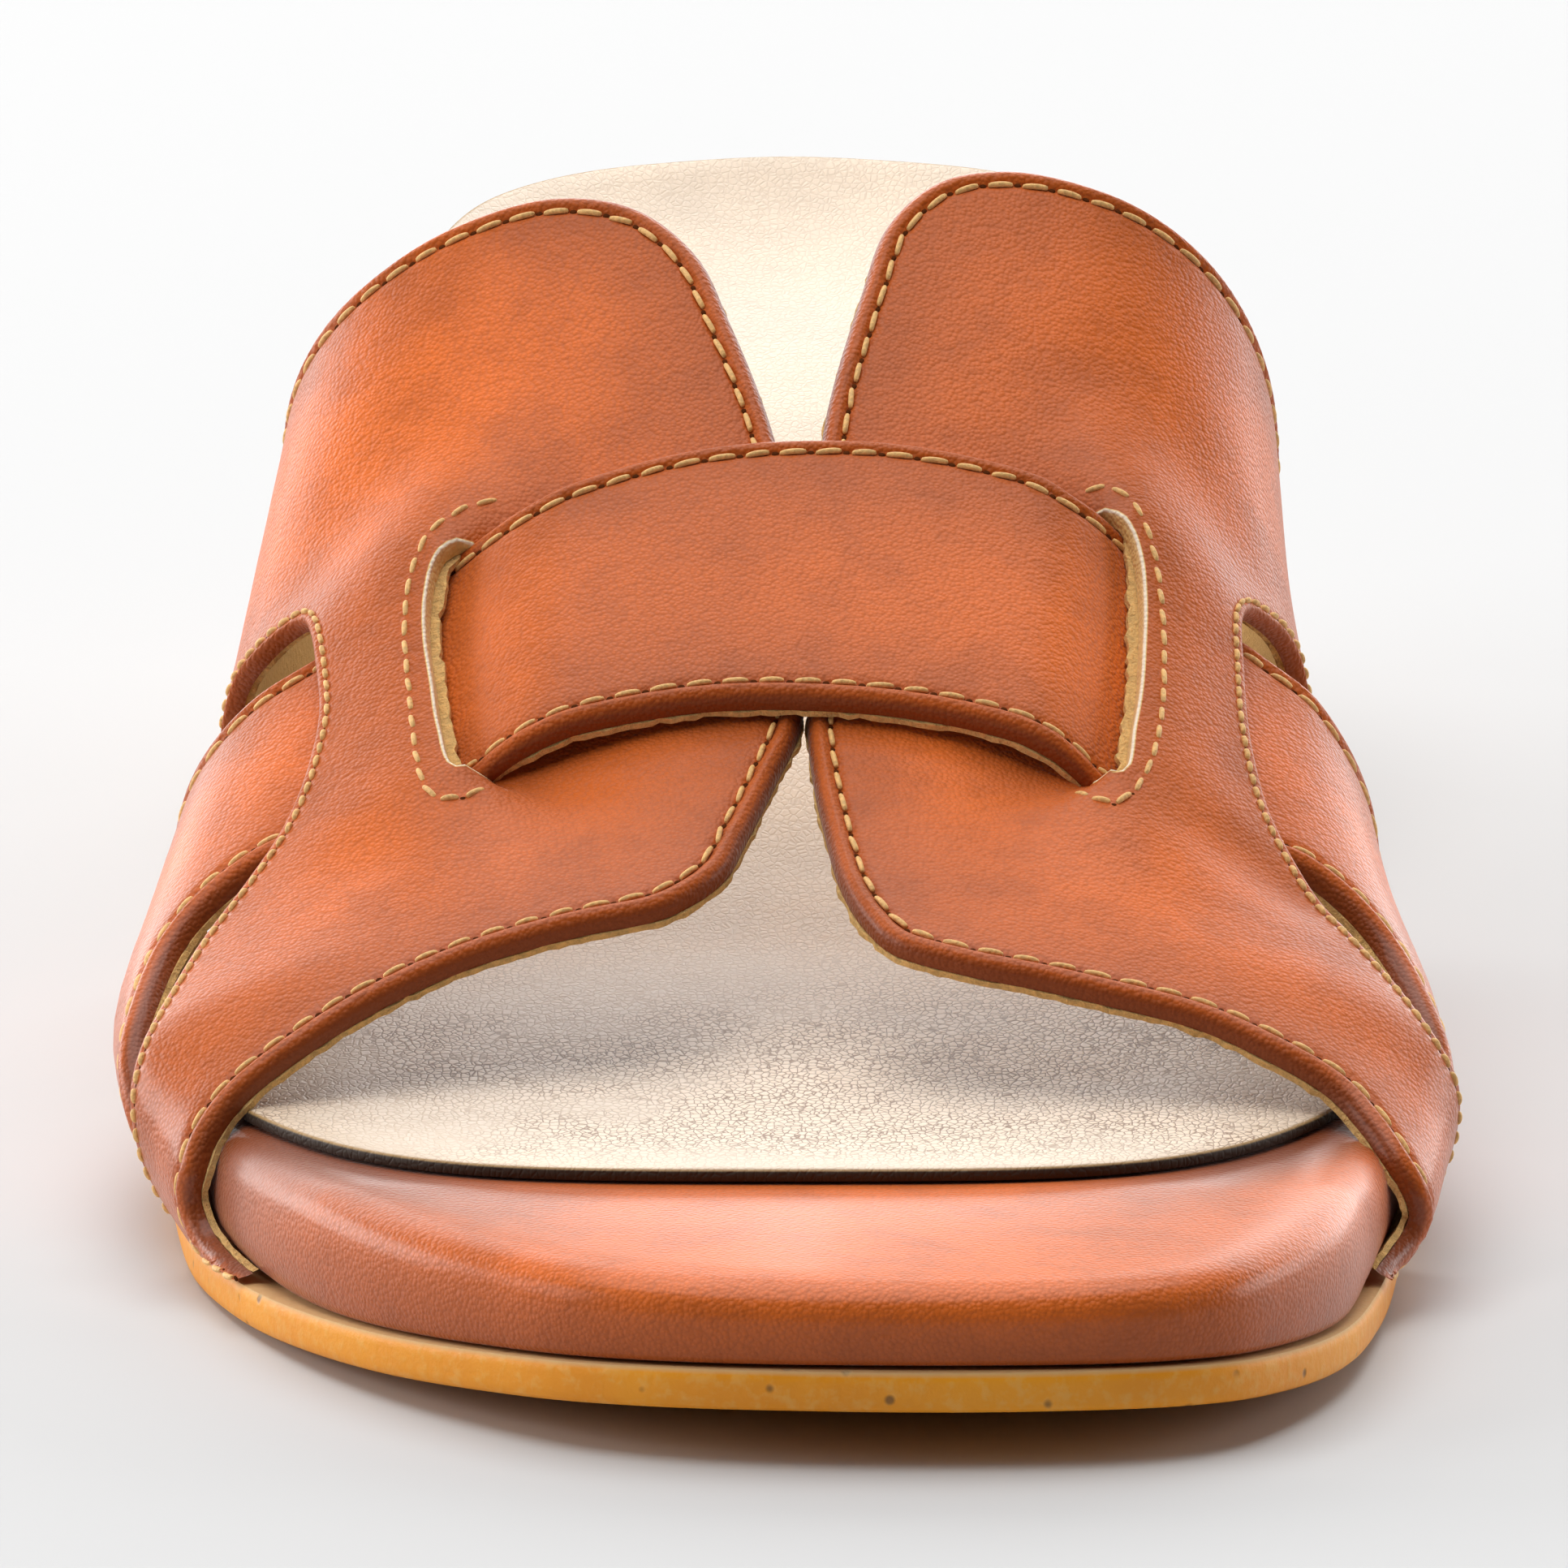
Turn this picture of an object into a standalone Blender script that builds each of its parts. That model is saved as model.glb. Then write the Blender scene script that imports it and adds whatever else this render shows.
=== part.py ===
"""Heeled mule for the right foot: two leather flaps under a bridge strap, on a padded footbed.

Lengths are in millimetres, and MM turns them into Blender's metres. x runs from the axis of the
foot towards its inner (medial) side, y is the station from the toe tip back to the heel, and z is
the height above the floor.
"""
from collections import namedtuple
from functools import lru_cache

import bmesh
import bpy
import numpy as np
from mathutils import Vector
from mathutils.geometry import delaunay_2d_cdt

MM = 0.001

# Driving sizes
LENGTH = 247.0
BALL_WIDTH = 88.0
INSTEP = 66.0
HEEL_RISE = 24.9
TOE_SPRING = 4.0

# Thicknesses and clearances
OUTSOLE_THICK = 3.0
FOOTBED_THICK = 9.5
INSOLE_THICK = 1.4
UPPER_WALL = 2.2
STRAP_WALL = 2.0
GAP = 0.3
INSOLE_GAP = 0.5
FEATHER_OVERHANG = 0.5

# Footbed, insole and heel
FOOTBED_INSET = 2.2
HEEL_CUP = 6.0
CUP_START, CUP_FULL = 0.62, 0.84
CUP_CENTRE = 0.83
TOE_ROLL_DROP = 3.0
TOE_ROLL_REACH = 11.0
INSOLE_MARGIN = 2.4
INSOLE_FRONT = 0.134
INSOLE_FRONT_BOW = 14.0
HEEL_BREAST = 0.755
HEEL_BREAST_BOW = 5.0
HEEL_MARGIN = 1.2

# Mesh spacing: grids inside panels, steps along edges, and the flat width that half a girth takes
PLATE_GRID = 9.0
RIM_STEP = 5.0
WALL_GRID = 4.4
WALL_STEP = 3.4
HALF_GIRTH = 62.0
ARC_STEPS = 120
SPLINE_PIECES = 4
GRID_ROW = 0.866
GRID_CLEARANCE = 0.6
WELD = 1e-6
NORMAL_STEP = 0.004
SHARP_ANGLE = 0.7

# Sole seen from above: widths are shares of half the ball width
Plan = namedtuple("Plan", "station lateral medial")
SOLE_PLAN = [
    Plan(0.000, 0.07, 0.50),
    Plan(0.016, 0.33, 0.69),
    Plan(0.040, 0.490, 0.79),
    Plan(0.081, 0.680, 0.885),
    Plan(0.138, 0.850, 0.945),
    Plan(0.194, 0.95, 0.98),
    Plan(0.251, 0.995, 0.995),
    Plan(0.308, 1.01, 0.975),
    Plan(0.372, 0.985, 0.905),
    Plan(0.445, 0.905, 0.79),
    Plan(0.526, 0.80, 0.69),
    Plan(0.615, 0.735, 0.65),
    Plan(0.709, 0.725, 0.675),
    Plan(0.802, 0.755, 0.735),
    Plan(0.874, 0.720, 0.710),
    Plan(0.935, 0.610, 0.605),
    Plan(0.978, 0.400, 0.400),
    Plan(1.000, 0.110, 0.110),
]

# Underside of the sole from the side: shares of the toe spring and of the heel rise
Profile = namedtuple("Profile", "station toe heel")
SOLE_PROFILE = [
    Profile(0.000, 1.00, 0.000),
    Profile(0.080, 0.44, 0.000),
    Profile(0.160, 0.11, 0.000),
    Profile(0.235, 0.00, 0.000),
    Profile(0.372, 0.00, 0.000),
    Profile(0.445, 0.00, 0.070),
    Profile(0.526, 0.00, 0.250),
    Profile(0.607, 0.00, 0.475),
    Profile(0.688, 0.00, 0.685),
    Profile(0.769, 0.00, 0.840),
    Profile(0.850, 0.00, 0.935),
    Profile(0.931, 0.00, 0.985),
    Profile(1.000, 0.00, 1.000),
]

# Sections of the last: bulges are shares of half the ball width, heights are shares of the instep,
# shift moves the ridge towards the medial side, and roundness is the superellipse power
Section = namedtuple("Section", "station lateral medial bulge ridge shift roundness")
LAST_SECTIONS = [
    Section(0.182, 0.965, 1.045, 0.160, 0.325, 0.05, 1.95),
    Section(0.243, 1.090, 1.095, 0.138, 0.400, 0.05, 2.00),
    Section(0.304, 1.110, 1.070, 0.135, 0.492, 0.07, 2.05),
    Section(0.364, 1.055, 0.985, 0.167, 0.602, 0.09, 2.25),
    Section(0.425, 0.975, 0.900, 0.220, 0.742, 0.11, 2.50),
    Section(0.486, 0.915, 0.850, 0.273, 0.904, 0.14, 2.80),
    Section(0.547, 0.862, 0.832, 0.303, 1.075, 0.14, 3.00),
    Section(0.648, 0.820, 0.800, 0.333, 1.325, 0.14, 3.00),
]

# Flap patterns: girth is the share of the way from the ridge (0) to the lateral (-1) or medial (1)
# feather line. The edge runs from the sole at the front, up past the ridge and back to the sole.
Mark = namedtuple("Mark", "station girth")
LATERAL_EDGE = [
    Mark(0.178, -1.00),
    Mark(0.182, -0.84),
    Mark(0.192, -0.67),
    Mark(0.213, -0.57),
    Mark(0.230, -0.465),
    Mark(0.244, -0.33),
    Mark(0.251, -0.20),
    Mark(0.260, -0.137),
    Mark(0.281, -0.095),
    Mark(0.328, -0.058),
    Mark(0.376, -0.052),
    Mark(0.430, -0.088),
    Mark(0.472, -0.125),
    Mark(0.494, -0.152),
    Mark(0.509, -0.200),
    Mark(0.516, -0.265),
    Mark(0.519, -0.360),
    Mark(0.522, -0.480),
    Mark(0.532, -0.630),
    Mark(0.548, -0.820),
    Mark(0.560, -1.00),
]
MEDIAL_EDGE = [
    Mark(0.186, 1.00),
    Mark(0.186, 0.84),
    Mark(0.191, 0.67),
    Mark(0.208, 0.555),
    Mark(0.218, 0.445),
    Mark(0.224, 0.295),
    Mark(0.229, 0.135),
    Mark(0.239, 0.075),
    Mark(0.259, 0.035),
    Mark(0.310, -0.006),
    Mark(0.376, -0.016),
    Mark(0.440, -0.033),
    Mark(0.480, -0.010),
    Mark(0.502, 0.015),
    Mark(0.515, 0.060),
    Mark(0.520, 0.120),
    Mark(0.522, 0.220),
    Mark(0.527, 0.340),
    Mark(0.534, 0.500),
    Mark(0.545, 0.730),
    Mark(0.560, 1.00),
]

# Side openings, from the sole along the rear leg, over the top and down the gusset to the sole
LATERAL_SLIT = [
    Mark(0.448, -1.00),
    Mark(0.444, -0.80),
    Mark(0.438, -0.62),
    Mark(0.427, -0.555),
    Mark(0.412, -0.520),
    Mark(0.400, -0.530),
    Mark(0.399, -0.620),
    Mark(0.404, -0.78),
    Mark(0.406, -1.00),
]
MEDIAL_SLIT = [
    Mark(0.452, 1.00),
    Mark(0.448, 0.80),
    Mark(0.440, 0.62),
    Mark(0.430, 0.510),
    Mark(0.416, 0.465),
    Mark(0.404, 0.480),
    Mark(0.410, 0.570),
    Mark(0.414, 0.74),
    Mark(0.413, 1.00),
]

# Bridge strap: its two edges across the foot, and how far it stands over the flaps
Strap = namedtuple("Strap", "girth front rear lift")
BRIDGE_STRAP = [
    Strap(-0.445, 0.318, 0.411, -1.0),
    Strap(-0.410, 0.319, 0.412, -0.2),
    Strap(-0.365, 0.321, 0.413, 2.1),
    Strap(-0.300, 0.322, 0.413, 2.6),
    Strap(-0.130, 0.322, 0.417, 2.6),
    Strap(0.000, 0.320, 0.419, 2.6),
    Strap(0.130, 0.318, 0.417, 2.6),
    Strap(0.255, 0.315, 0.414, 2.6),
    Strap(0.315, 0.313, 0.412, 2.1),
    Strap(0.360, 0.312, 0.411, -0.2),
    Strap(0.395, 0.311, 0.410, -1.0),
]
STRAP_ROWS = 44
STRAP_COLUMNS = 9

# Edge rings of the flat pieces: how far in from the outline, and how far up from floor to roof
Ring = namedtuple("Ring", "inset share")
OUTSOLE_RINGS = [Ring(0.5, 0.0), Ring(0.0, 0.2), Ring(0.0, 0.8), Ring(0.5, 1.0)]
FOOTBED_RINGS = [
    Ring(1.0, 0.0),
    Ring(0.0, 0.14),
    Ring(0.0, 0.60),
    Ring(0.35, 0.84),
    Ring(1.0, 0.96),
    Ring(1.9, 1.0),
]
INSOLE_RINGS = [Ring(0.3, 0.0), Ring(0.0, 0.3), Ring(0.0, 0.7), Ring(0.3, 1.0)]
HEEL_RINGS = [Ring(4.0, 0.0), Ring(3.2, 0.04), Ring(1.8, 0.4), Ring(0.4, 0.8), Ring(0.0, 1.0)]

# Finishes: colour, roughness
Finish = namedtuple("Finish", "colour roughness")
COGNAC_LEATHER = Finish((0.46, 0.15, 0.05, 1.0), 0.55)
CREAM_LEATHER = Finish((0.80, 0.70, 0.54, 1.0), 0.5)
HONEY_SOLE = Finish((0.72, 0.45, 0.18, 1.0), 0.45)
STACKED_HEEL = Finish((0.50, 0.27, 0.10, 1.0), 0.5)


def monotone(knots, values, at):
    """Cubic through a table's rows that never overshoots, so a flat stretch stays flat."""
    widths = np.diff(knots)
    slopes = np.diff(values) / widths
    tangents = np.zeros(len(knots))
    tangents[0], tangents[-1] = slopes[0], slopes[-1]
    for i in range(1, len(knots) - 1):
        before, after = slopes[i - 1], slopes[i]
        if before * after > 0:
            first = 2 * widths[i] + widths[i - 1]
            second = widths[i] + 2 * widths[i - 1]
            tangents[i] = (first + second) / (first / before + second / after)
    at = min(max(at, knots[0]), knots[-1])
    i = min(max(int(np.searchsorted(knots, at)) - 1, 0), len(widths) - 1)
    t = (at - knots[i]) / widths[i]
    rise_in = (t**3 - 2 * t**2 + t) * widths[i] * tangents[i]
    rise_out = (t**3 - t**2) * widths[i] * tangents[i + 1]
    step = t * t * (3 - 2 * t)
    return values[i] * (1 - step) + values[i + 1] * step + rise_in + rise_out


def column(table, name, at, key="station"):
    """One named column of a table, read at a station or another key."""
    knots = np.array([getattr(row, key) for row in table])
    values = np.array([getattr(row, name) for row in table])
    return float(monotone(knots, values, at))


def ease(low, high, at):
    """Smooth step from 0 to 1."""
    t = min(max((at - low) / (high - low), 0.0), 1.0)
    return t * t * (3 - 2 * t)


def curve_through(points, step, closed):
    """Points about a step apart on a centripetal spline through a short list of points."""
    knots = [Vector(p) for p in points]
    count = len(knots)
    path = []
    for i in range(count if closed else count - 1):
        if closed:
            p0, p1, p2, p3 = (knots[(i + k) % count] for k in (-1, 0, 1, 2))
        else:
            p1, p2 = knots[i], knots[i + 1]
            p0 = knots[i - 1] if i else p1 * 2 - p2
            p3 = knots[i + 2] if i + 2 < count else p2 * 2 - p1
        t1 = (p1 - p0).length ** 0.5
        t2 = t1 + (p2 - p1).length ** 0.5
        t3 = t2 + (p3 - p2).length ** 0.5
        pieces = max(2, round((p2 - p1).length / step * SPLINE_PIECES))
        for k in range(pieces):
            t = t1 + (t2 - t1) * k / pieces
            a1 = p0.lerp(p1, t / t1)
            a2 = p1.lerp(p2, (t - t1) / (t2 - t1))
            a3 = p2.lerp(p3, (t - t2) / (t3 - t2))
            b1 = a1.lerp(a2, t / t2)
            b2 = a2.lerp(a3, (t - t1) / (t3 - t1))
            path.append(b1.lerp(b2, (t - t1) / (t2 - t1)))
    path.append(path[0] if closed else knots[-1])
    lengths = np.concatenate([[0.0], np.cumsum([(b - a).length for a, b in zip(path, path[1:])])])
    total = max(2, round(lengths[-1] / step))
    marks = np.linspace(0.0, lengths[-1], total + 1)
    xs = np.interp(marks, lengths, [p.x for p in path])
    ys = np.interp(marks, lengths, [p.y for p in path])
    found = list(zip(xs, ys))
    return found[:-1] if closed else found


def inset(outline, distance):
    """The outline moved inwards; it runs anticlockwise as seen from above."""
    moved = []
    count = len(outline)
    for i in range(count):
        along = Vector(outline[(i + 1) % count]) - Vector(outline[i - 1])
        along.normalize()
        moved.append((outline[i][0] - along.y * distance, outline[i][1] + along.x * distance))
    return moved


def inside(point, outline):
    """Whether a point lies inside a closed outline."""
    x, y = point
    found = False
    for (x1, y1), (x2, y2) in zip(outline, outline[1:] + outline[:1]):
        if (y1 > y) != (y2 > y) and x < x1 + (y - y1) / (y2 - y1) * (x2 - x1):
            found = not found
    return found


def panel(outline, grid):
    """An outline filled with triangles over a grid of points. The outline's points come first."""
    points = [Vector(p) for p in outline]
    rim = np.array(outline)
    (low_x, low_y), (high_x, high_y) = rim.min(axis=0), rim.max(axis=0)
    for row, y in enumerate(np.arange(low_y + grid / 2, high_y, grid * GRID_ROW)):
        for x in np.arange(low_x + grid / 2 + (row % 2) * grid / 2, high_x, grid):
            clear = np.hypot(rim[:, 0] - x, rim[:, 1] - y).min() > grid * GRID_CLEARANCE
            if clear and inside((x, y), outline):
                points.append(Vector((x, y)))
    count = len(outline)
    edges = [(i, (i + 1) % count) for i in range(count)]
    filled = delaunay_2d_cdt(points, edges, [], 1, WELD)
    faces, sources = filled[2], filled[3]
    order = [source[0] for source in sources]
    return points, [[order[i] for i in face] for face in faces]


@lru_cache(maxsize=None)
def sole_outline():
    """The outsole from above, anticlockwise from the toe: medial side back, lateral side forward."""
    half = BALL_WIDTH / 2
    medial = [(row.medial * half, row.station * LENGTH) for row in SOLE_PLAN]
    lateral = [(-row.lateral * half, row.station * LENGTH) for row in SOLE_PLAN]
    return curve_through(medial + lateral[::-1], RIM_STEP, closed=True)


def half_width(station, side):
    """Half width of the outsole on the lateral (-1) or the medial (1) side."""
    return column(SOLE_PLAN, "medial" if side > 0 else "lateral", station) * BALL_WIDTH / 2


def underside(y):
    """Height of the outsole's underside: toe spring, flat forefoot, arch and heel seat."""
    toe = column(SOLE_PROFILE, "toe", y / LENGTH) * TOE_SPRING
    return toe + column(SOLE_PROFILE, "heel", y / LENGTH) * HEEL_RISE


def outsole_top(y):
    return underside(y) + OUTSOLE_THICK


def heel_cup(x, y):
    """How far the footbed rises towards its rim around the heel."""
    centre = CUP_CENTRE * LENGTH
    across = x / half_width(min(y, centre) / LENGTH, 1 if x > 0 else -1)
    behind = max(y - centre, 0.0) / (LENGTH - centre)
    return HEEL_CUP * ease(CUP_START, CUP_FULL, y / LENGTH) * min(np.hypot(across, behind), 1.0) ** 3


def toe_roll(x, y):
    """How far the footbed's top falls away towards its rim in front of the insole."""
    ahead = 1.0 - ease(INSOLE_FRONT * LENGTH - TOE_ROLL_REACH, INSOLE_FRONT * LENGTH, y)
    if ahead == 0.0:
        return 0.0
    rim = min(np.hypot(px - x, py - y) for px, py in sole_outline()) - FOOTBED_INSET
    return TOE_ROLL_DROP * ahead * max(1.0 - rim / TOE_ROLL_REACH, 0.0) ** 2


def footbed_top(x, y):
    return outsole_top(y) + GAP + FOOTBED_THICK + heel_cup(x, y) - toe_roll(x, y)


def last_side(station, side):
    """One side of the last's section as distances out from the ridge and heights, ridge to feather."""
    half = BALL_WIDTH / 2
    bulge_out = column(LAST_SECTIONS, "medial" if side > 0 else "lateral", station) * half
    shift = column(LAST_SECTIONS, "shift", station) * half
    ridge = column(LAST_SECTIONS, "ridge", station) * INSTEP
    bulge_up = column(LAST_SECTIONS, "bulge", station) * INSTEP
    power = 2 / column(LAST_SECTIONS, "roundness", station)
    feather = outsole_top(station * LENGTH) + GAP
    reach = bulge_out - side * shift
    tuck = bulge_out - half_width(station, side) - FEATHER_OVERHANG
    turn = np.linspace(0.0, np.pi / 2, ARC_STEPS)
    drop = np.linspace(0.0, 1.0, ARC_STEPS)[1:]
    widest = feather + bulge_up
    out = np.concatenate([reach * np.sin(turn) ** power, reach - tuck * drop**2])
    up = np.concatenate([widest + (ridge - widest) * np.cos(turn) ** power, widest - bulge_up * drop])
    return shift, out, up


def last_point(station, girth):
    """A point of the upper's outer face, at a share of the girth from the ridge to the feather."""
    side = -1 if girth < 0 else 1
    shift, out, up = last_side(station, side)
    lengths = np.concatenate([[0.0], np.cumsum(np.hypot(np.diff(out), np.diff(up)))])
    reach = min(abs(girth), 1.0) * lengths[-1]
    x = shift + side * np.interp(reach, lengths, out)
    return Vector((x, station * LENGTH, np.interp(reach, lengths, up)))


def last_normal(station, girth):
    """The outward direction of the upper's outer face."""
    step = NORMAL_STEP
    along = last_point(station + step, girth) - last_point(station - step, girth)
    across = last_point(station, girth + 2 * step) - last_point(station, girth - 2 * step)
    return across.cross(along).normalized()


def collection(name):
    found = bpy.data.collections.new(name)
    bpy.context.scene.collection.children.link(found)
    return found


def material(name, finish):
    made = bpy.data.materials.new(name)
    made.use_nodes = True
    shader = made.node_tree.nodes["Principled BSDF"]
    shader.inputs["Base Color"].default_value = finish.colour
    shader.inputs["Roughness"].default_value = finish.roughness
    shader.inputs["Metallic"].default_value = 0.0
    return made


def add_object(name, shape, target, finish, parent):
    """A mesh object from a finished bmesh, turned into metres and shaded smooth."""
    bmesh.ops.scale(shape, vec=(MM, MM, MM), verts=shape.verts)
    bmesh.ops.recalc_face_normals(shape, faces=shape.faces)
    mesh = bpy.data.meshes.new(name)
    shape.to_mesh(mesh)
    shape.free()
    mesh.shade_smooth()
    mesh.set_sharp_from_angle(angle=SHARP_ANGLE)
    made = bpy.data.objects.new(name, mesh)
    made.data.materials.append(finish)
    made.parent = parent
    target.objects.link(made)
    return made


def close_with_panel(shape, loop, outline, surface):
    """Fills a loop of vertices with a panel whose inner points lie on a surface."""
    points, triangles = panel(outline, PLATE_GRID)
    corners = list(loop)
    for x, y in points[len(loop):]:
        corners.append(shape.verts.new((x, y, surface(x, y))))
    for triangle in triangles:
        shape.faces.new([corners[i] for i in triangle])


def plate(name, outline, rings, floor, roof, target, finish, parent):
    """A closed piece between a floor and a roof surface, with its edge lofted through rings."""
    shape = bmesh.new()
    outlines = [inset(outline, ring.inset) for ring in rings]
    loops = []
    for ring, points in zip(rings, outlines):
        loop = []
        for x, y in points:
            low, high = floor(x, y), roof(x, y)
            loop.append(shape.verts.new((x, y, low + (high - low) * ring.share)))
        loops.append(loop)
    for lower, upper in zip(loops, loops[1:]):
        for i in range(len(lower)):
            j = (i + 1) % len(lower)
            shape.faces.new((lower[i], lower[j], upper[j], upper[i]))
    close_with_panel(shape, loops[0], outlines[0], floor)
    close_with_panel(shape, loops[-1], outlines[-1], roof)
    return add_object(name, shape, target, finish, parent)


def add_outsole(target, parent):
    return plate("outsole", sole_outline(), OUTSOLE_RINGS, lambda x, y: underside(y),
                 lambda x, y: outsole_top(y), target, material("honey_sole", HONEY_SOLE), parent)


def add_footbed(target, parent):
    outline = inset(sole_outline(), FOOTBED_INSET)
    return plate("footbed", outline, FOOTBED_RINGS, lambda x, y: outsole_top(y) + GAP, footbed_top,
                 target, material("footbed_leather", COGNAC_LEATHER), parent)


def cut_line(outline, line):
    """The part of an outline behind a line of stations across the foot, closed along that line."""
    kept = [p for p in outline if p[1] > line(p[0])]
    first = next(i for i, p in enumerate(outline) if p[1] > line(p[0]))
    start, end = kept[0], kept[-1]
    steps = max(2, round(abs(start[0] - end[0]) / RIM_STEP))
    across = [end[0] + (start[0] - end[0]) * k / steps for k in range(steps + 1)]
    return outline[first:first + len(kept)] + [(x, line(x)) for x in across[1:-1]]


def add_insole(target, parent):
    margin = inset(sole_outline(), FOOTBED_INSET + INSOLE_MARGIN)
    half = BALL_WIDTH / 2

    def front(x):
        return INSOLE_FRONT * LENGTH + INSOLE_FRONT_BOW * (x / half) ** 2

    return plate("insole", cut_line(margin, front), INSOLE_RINGS,
                 lambda x, y: footbed_top(x, y) + INSOLE_GAP,
                 lambda x, y: footbed_top(x, y) + INSOLE_GAP + INSOLE_THICK,
                 target, material("insole_leather", CREAM_LEATHER), parent)


def add_heel(target, parent):
    margin = inset(sole_outline(), HEEL_MARGIN)
    half = BALL_WIDTH / 2

    def breast(x):
        return HEEL_BREAST * LENGTH + HEEL_BREAST_BOW * (1.0 - (x / half) ** 2)

    return plate("heel", cut_line(margin, breast), HEEL_RINGS, lambda x, y: 0.0,
                 lambda x, y: underside(y) - GAP, target, material("stacked_heel", STACKED_HEEL), parent)


def pattern_curve(marks):
    """A pattern edge in flat millimetres, station first."""
    flat = [(mark.station * LENGTH, mark.girth * HALF_GIRTH) for mark in marks]
    return curve_through(flat, WALL_STEP, closed=False)


def straight(start, end):
    """Points between two pattern corners, corners left out."""
    steps = max(2, round(abs(end[0] - start[0]) / WALL_STEP))
    return [(start[0] + (end[0] - start[0]) * k / steps, start[1]) for k in range(1, steps)]


def flap(name, edge, slit, target, finish, parent):
    """One flap as an open surface on the last, thickened inwards to a leather wall."""
    outer, opening = pattern_curve(edge), pattern_curve(slit)
    outline = outer + straight(outer[-1], opening[0]) + opening + straight(opening[-1], outer[0])
    points, triangles = panel(outline, WALL_GRID)
    shape = bmesh.new()
    corners = [shape.verts.new(last_point(p.x / LENGTH, p.y / HALF_GIRTH)) for p in points]
    for triangle in triangles:
        shape.faces.new([corners[i] for i in triangle])
    return thicken(add_object(name, shape, target, finish, parent), UPPER_WALL)


def thicken(made, wall):
    """Turns the surface outwards, then gives it its wall on the inner side."""
    mesh = made.data
    highest = max(mesh.polygons, key=lambda face: face.center.z)
    if highest.normal.z < 0:
        mesh.flip_normals()
    solid = made.modifiers.new("wall", "SOLIDIFY")
    solid.thickness = wall * MM
    solid.offset = -1.0
    return made


def bridge_strap(name, target, finish, parent):
    """The strap over both flaps, with ends that dive into them."""
    shape = bmesh.new()
    first, last = BRIDGE_STRAP[0].girth, BRIDGE_STRAP[-1].girth
    rows = []
    for girth in np.linspace(first, last, STRAP_ROWS):
        front = column(BRIDGE_STRAP, "front", girth, "girth")
        rear = column(BRIDGE_STRAP, "rear", girth, "girth")
        lift = column(BRIDGE_STRAP, "lift", girth, "girth")
        row = []
        for station in np.linspace(front, rear, STRAP_COLUMNS):
            place = last_point(station, girth) + last_normal(station, girth) * lift
            row.append(shape.verts.new(place))
        rows.append(row)
    for before, after in zip(rows, rows[1:]):
        for i in range(STRAP_COLUMNS - 1):
            shape.faces.new((before[i], before[i + 1], after[i + 1], after[i]))
    return thicken(add_object(name, shape, target, finish, parent), STRAP_WALL)


def hide_as_cutter(made):
    made.hide_render = True
    made.display_type = "WIRE"


def add_upper(target, cutters, parent):
    """Both flaps and the bridge strap as one wall, joined where the strap's ends enter the flaps."""
    leather = material("upper_leather", COGNAC_LEATHER)
    upper = flap("upper", LATERAL_EDGE, LATERAL_SLIT, target, leather, parent)
    strap = bridge_strap("bridge_strap_form", cutters, leather, parent)
    medial = flap("medial_flap_form", MEDIAL_EDGE, MEDIAL_SLIT, cutters, leather, parent)
    for form in (strap, medial):
        hide_as_cutter(form)
        join = upper.modifiers.new("join " + form.name, "BOOLEAN")
        join.operation = "UNION"
        join.solver = "EXACT"
        join.object = form
    return upper


def centre_on_floor(parent, pieces):
    """Moves the shoe so that the middle of its box is over the origin."""
    bpy.context.view_layer.update()
    seen = bpy.context.evaluated_depsgraph_get()
    corners = [vertex.co for piece in pieces for vertex in piece.evaluated_get(seen).data.vertices]
    for axis in (0, 1):
        values = [corner[axis] for corner in corners]
        parent.location[axis] = -(min(values) + max(values)) / 2
    bpy.context.view_layer.update()


def main():
    for old in list(bpy.data.objects):
        bpy.data.objects.remove(old, do_unlink=True)
    parts, cutters = collection("heeled_mule"), collection("heeled_mule_cutters")
    centre = bpy.data.objects.new("shoe_centre", None)
    parts.objects.link(centre)
    pieces = [
        add_outsole(parts, centre),
        add_footbed(parts, centre),
        add_insole(parts, centre),
        add_heel(parts, centre),
        add_upper(parts, cutters, centre),
    ]
    centre_on_floor(centre, pieces)


main()
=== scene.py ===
"""Heeled mule: leather flaps, bridge strap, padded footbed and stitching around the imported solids.

Lengths in the tables and functions are millimetres in the shoe's own frame: x runs to the inner
(medial) side, y is the station from the toe tip back to the heel, z is the height above the floor.
"""
from collections import namedtuple
from functools import cache

import bmesh
import bpy
import numpy as np
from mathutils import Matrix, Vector
from mathutils.geometry import delaunay_2d_cdt
from mathutils.kdtree import KDTree

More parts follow.
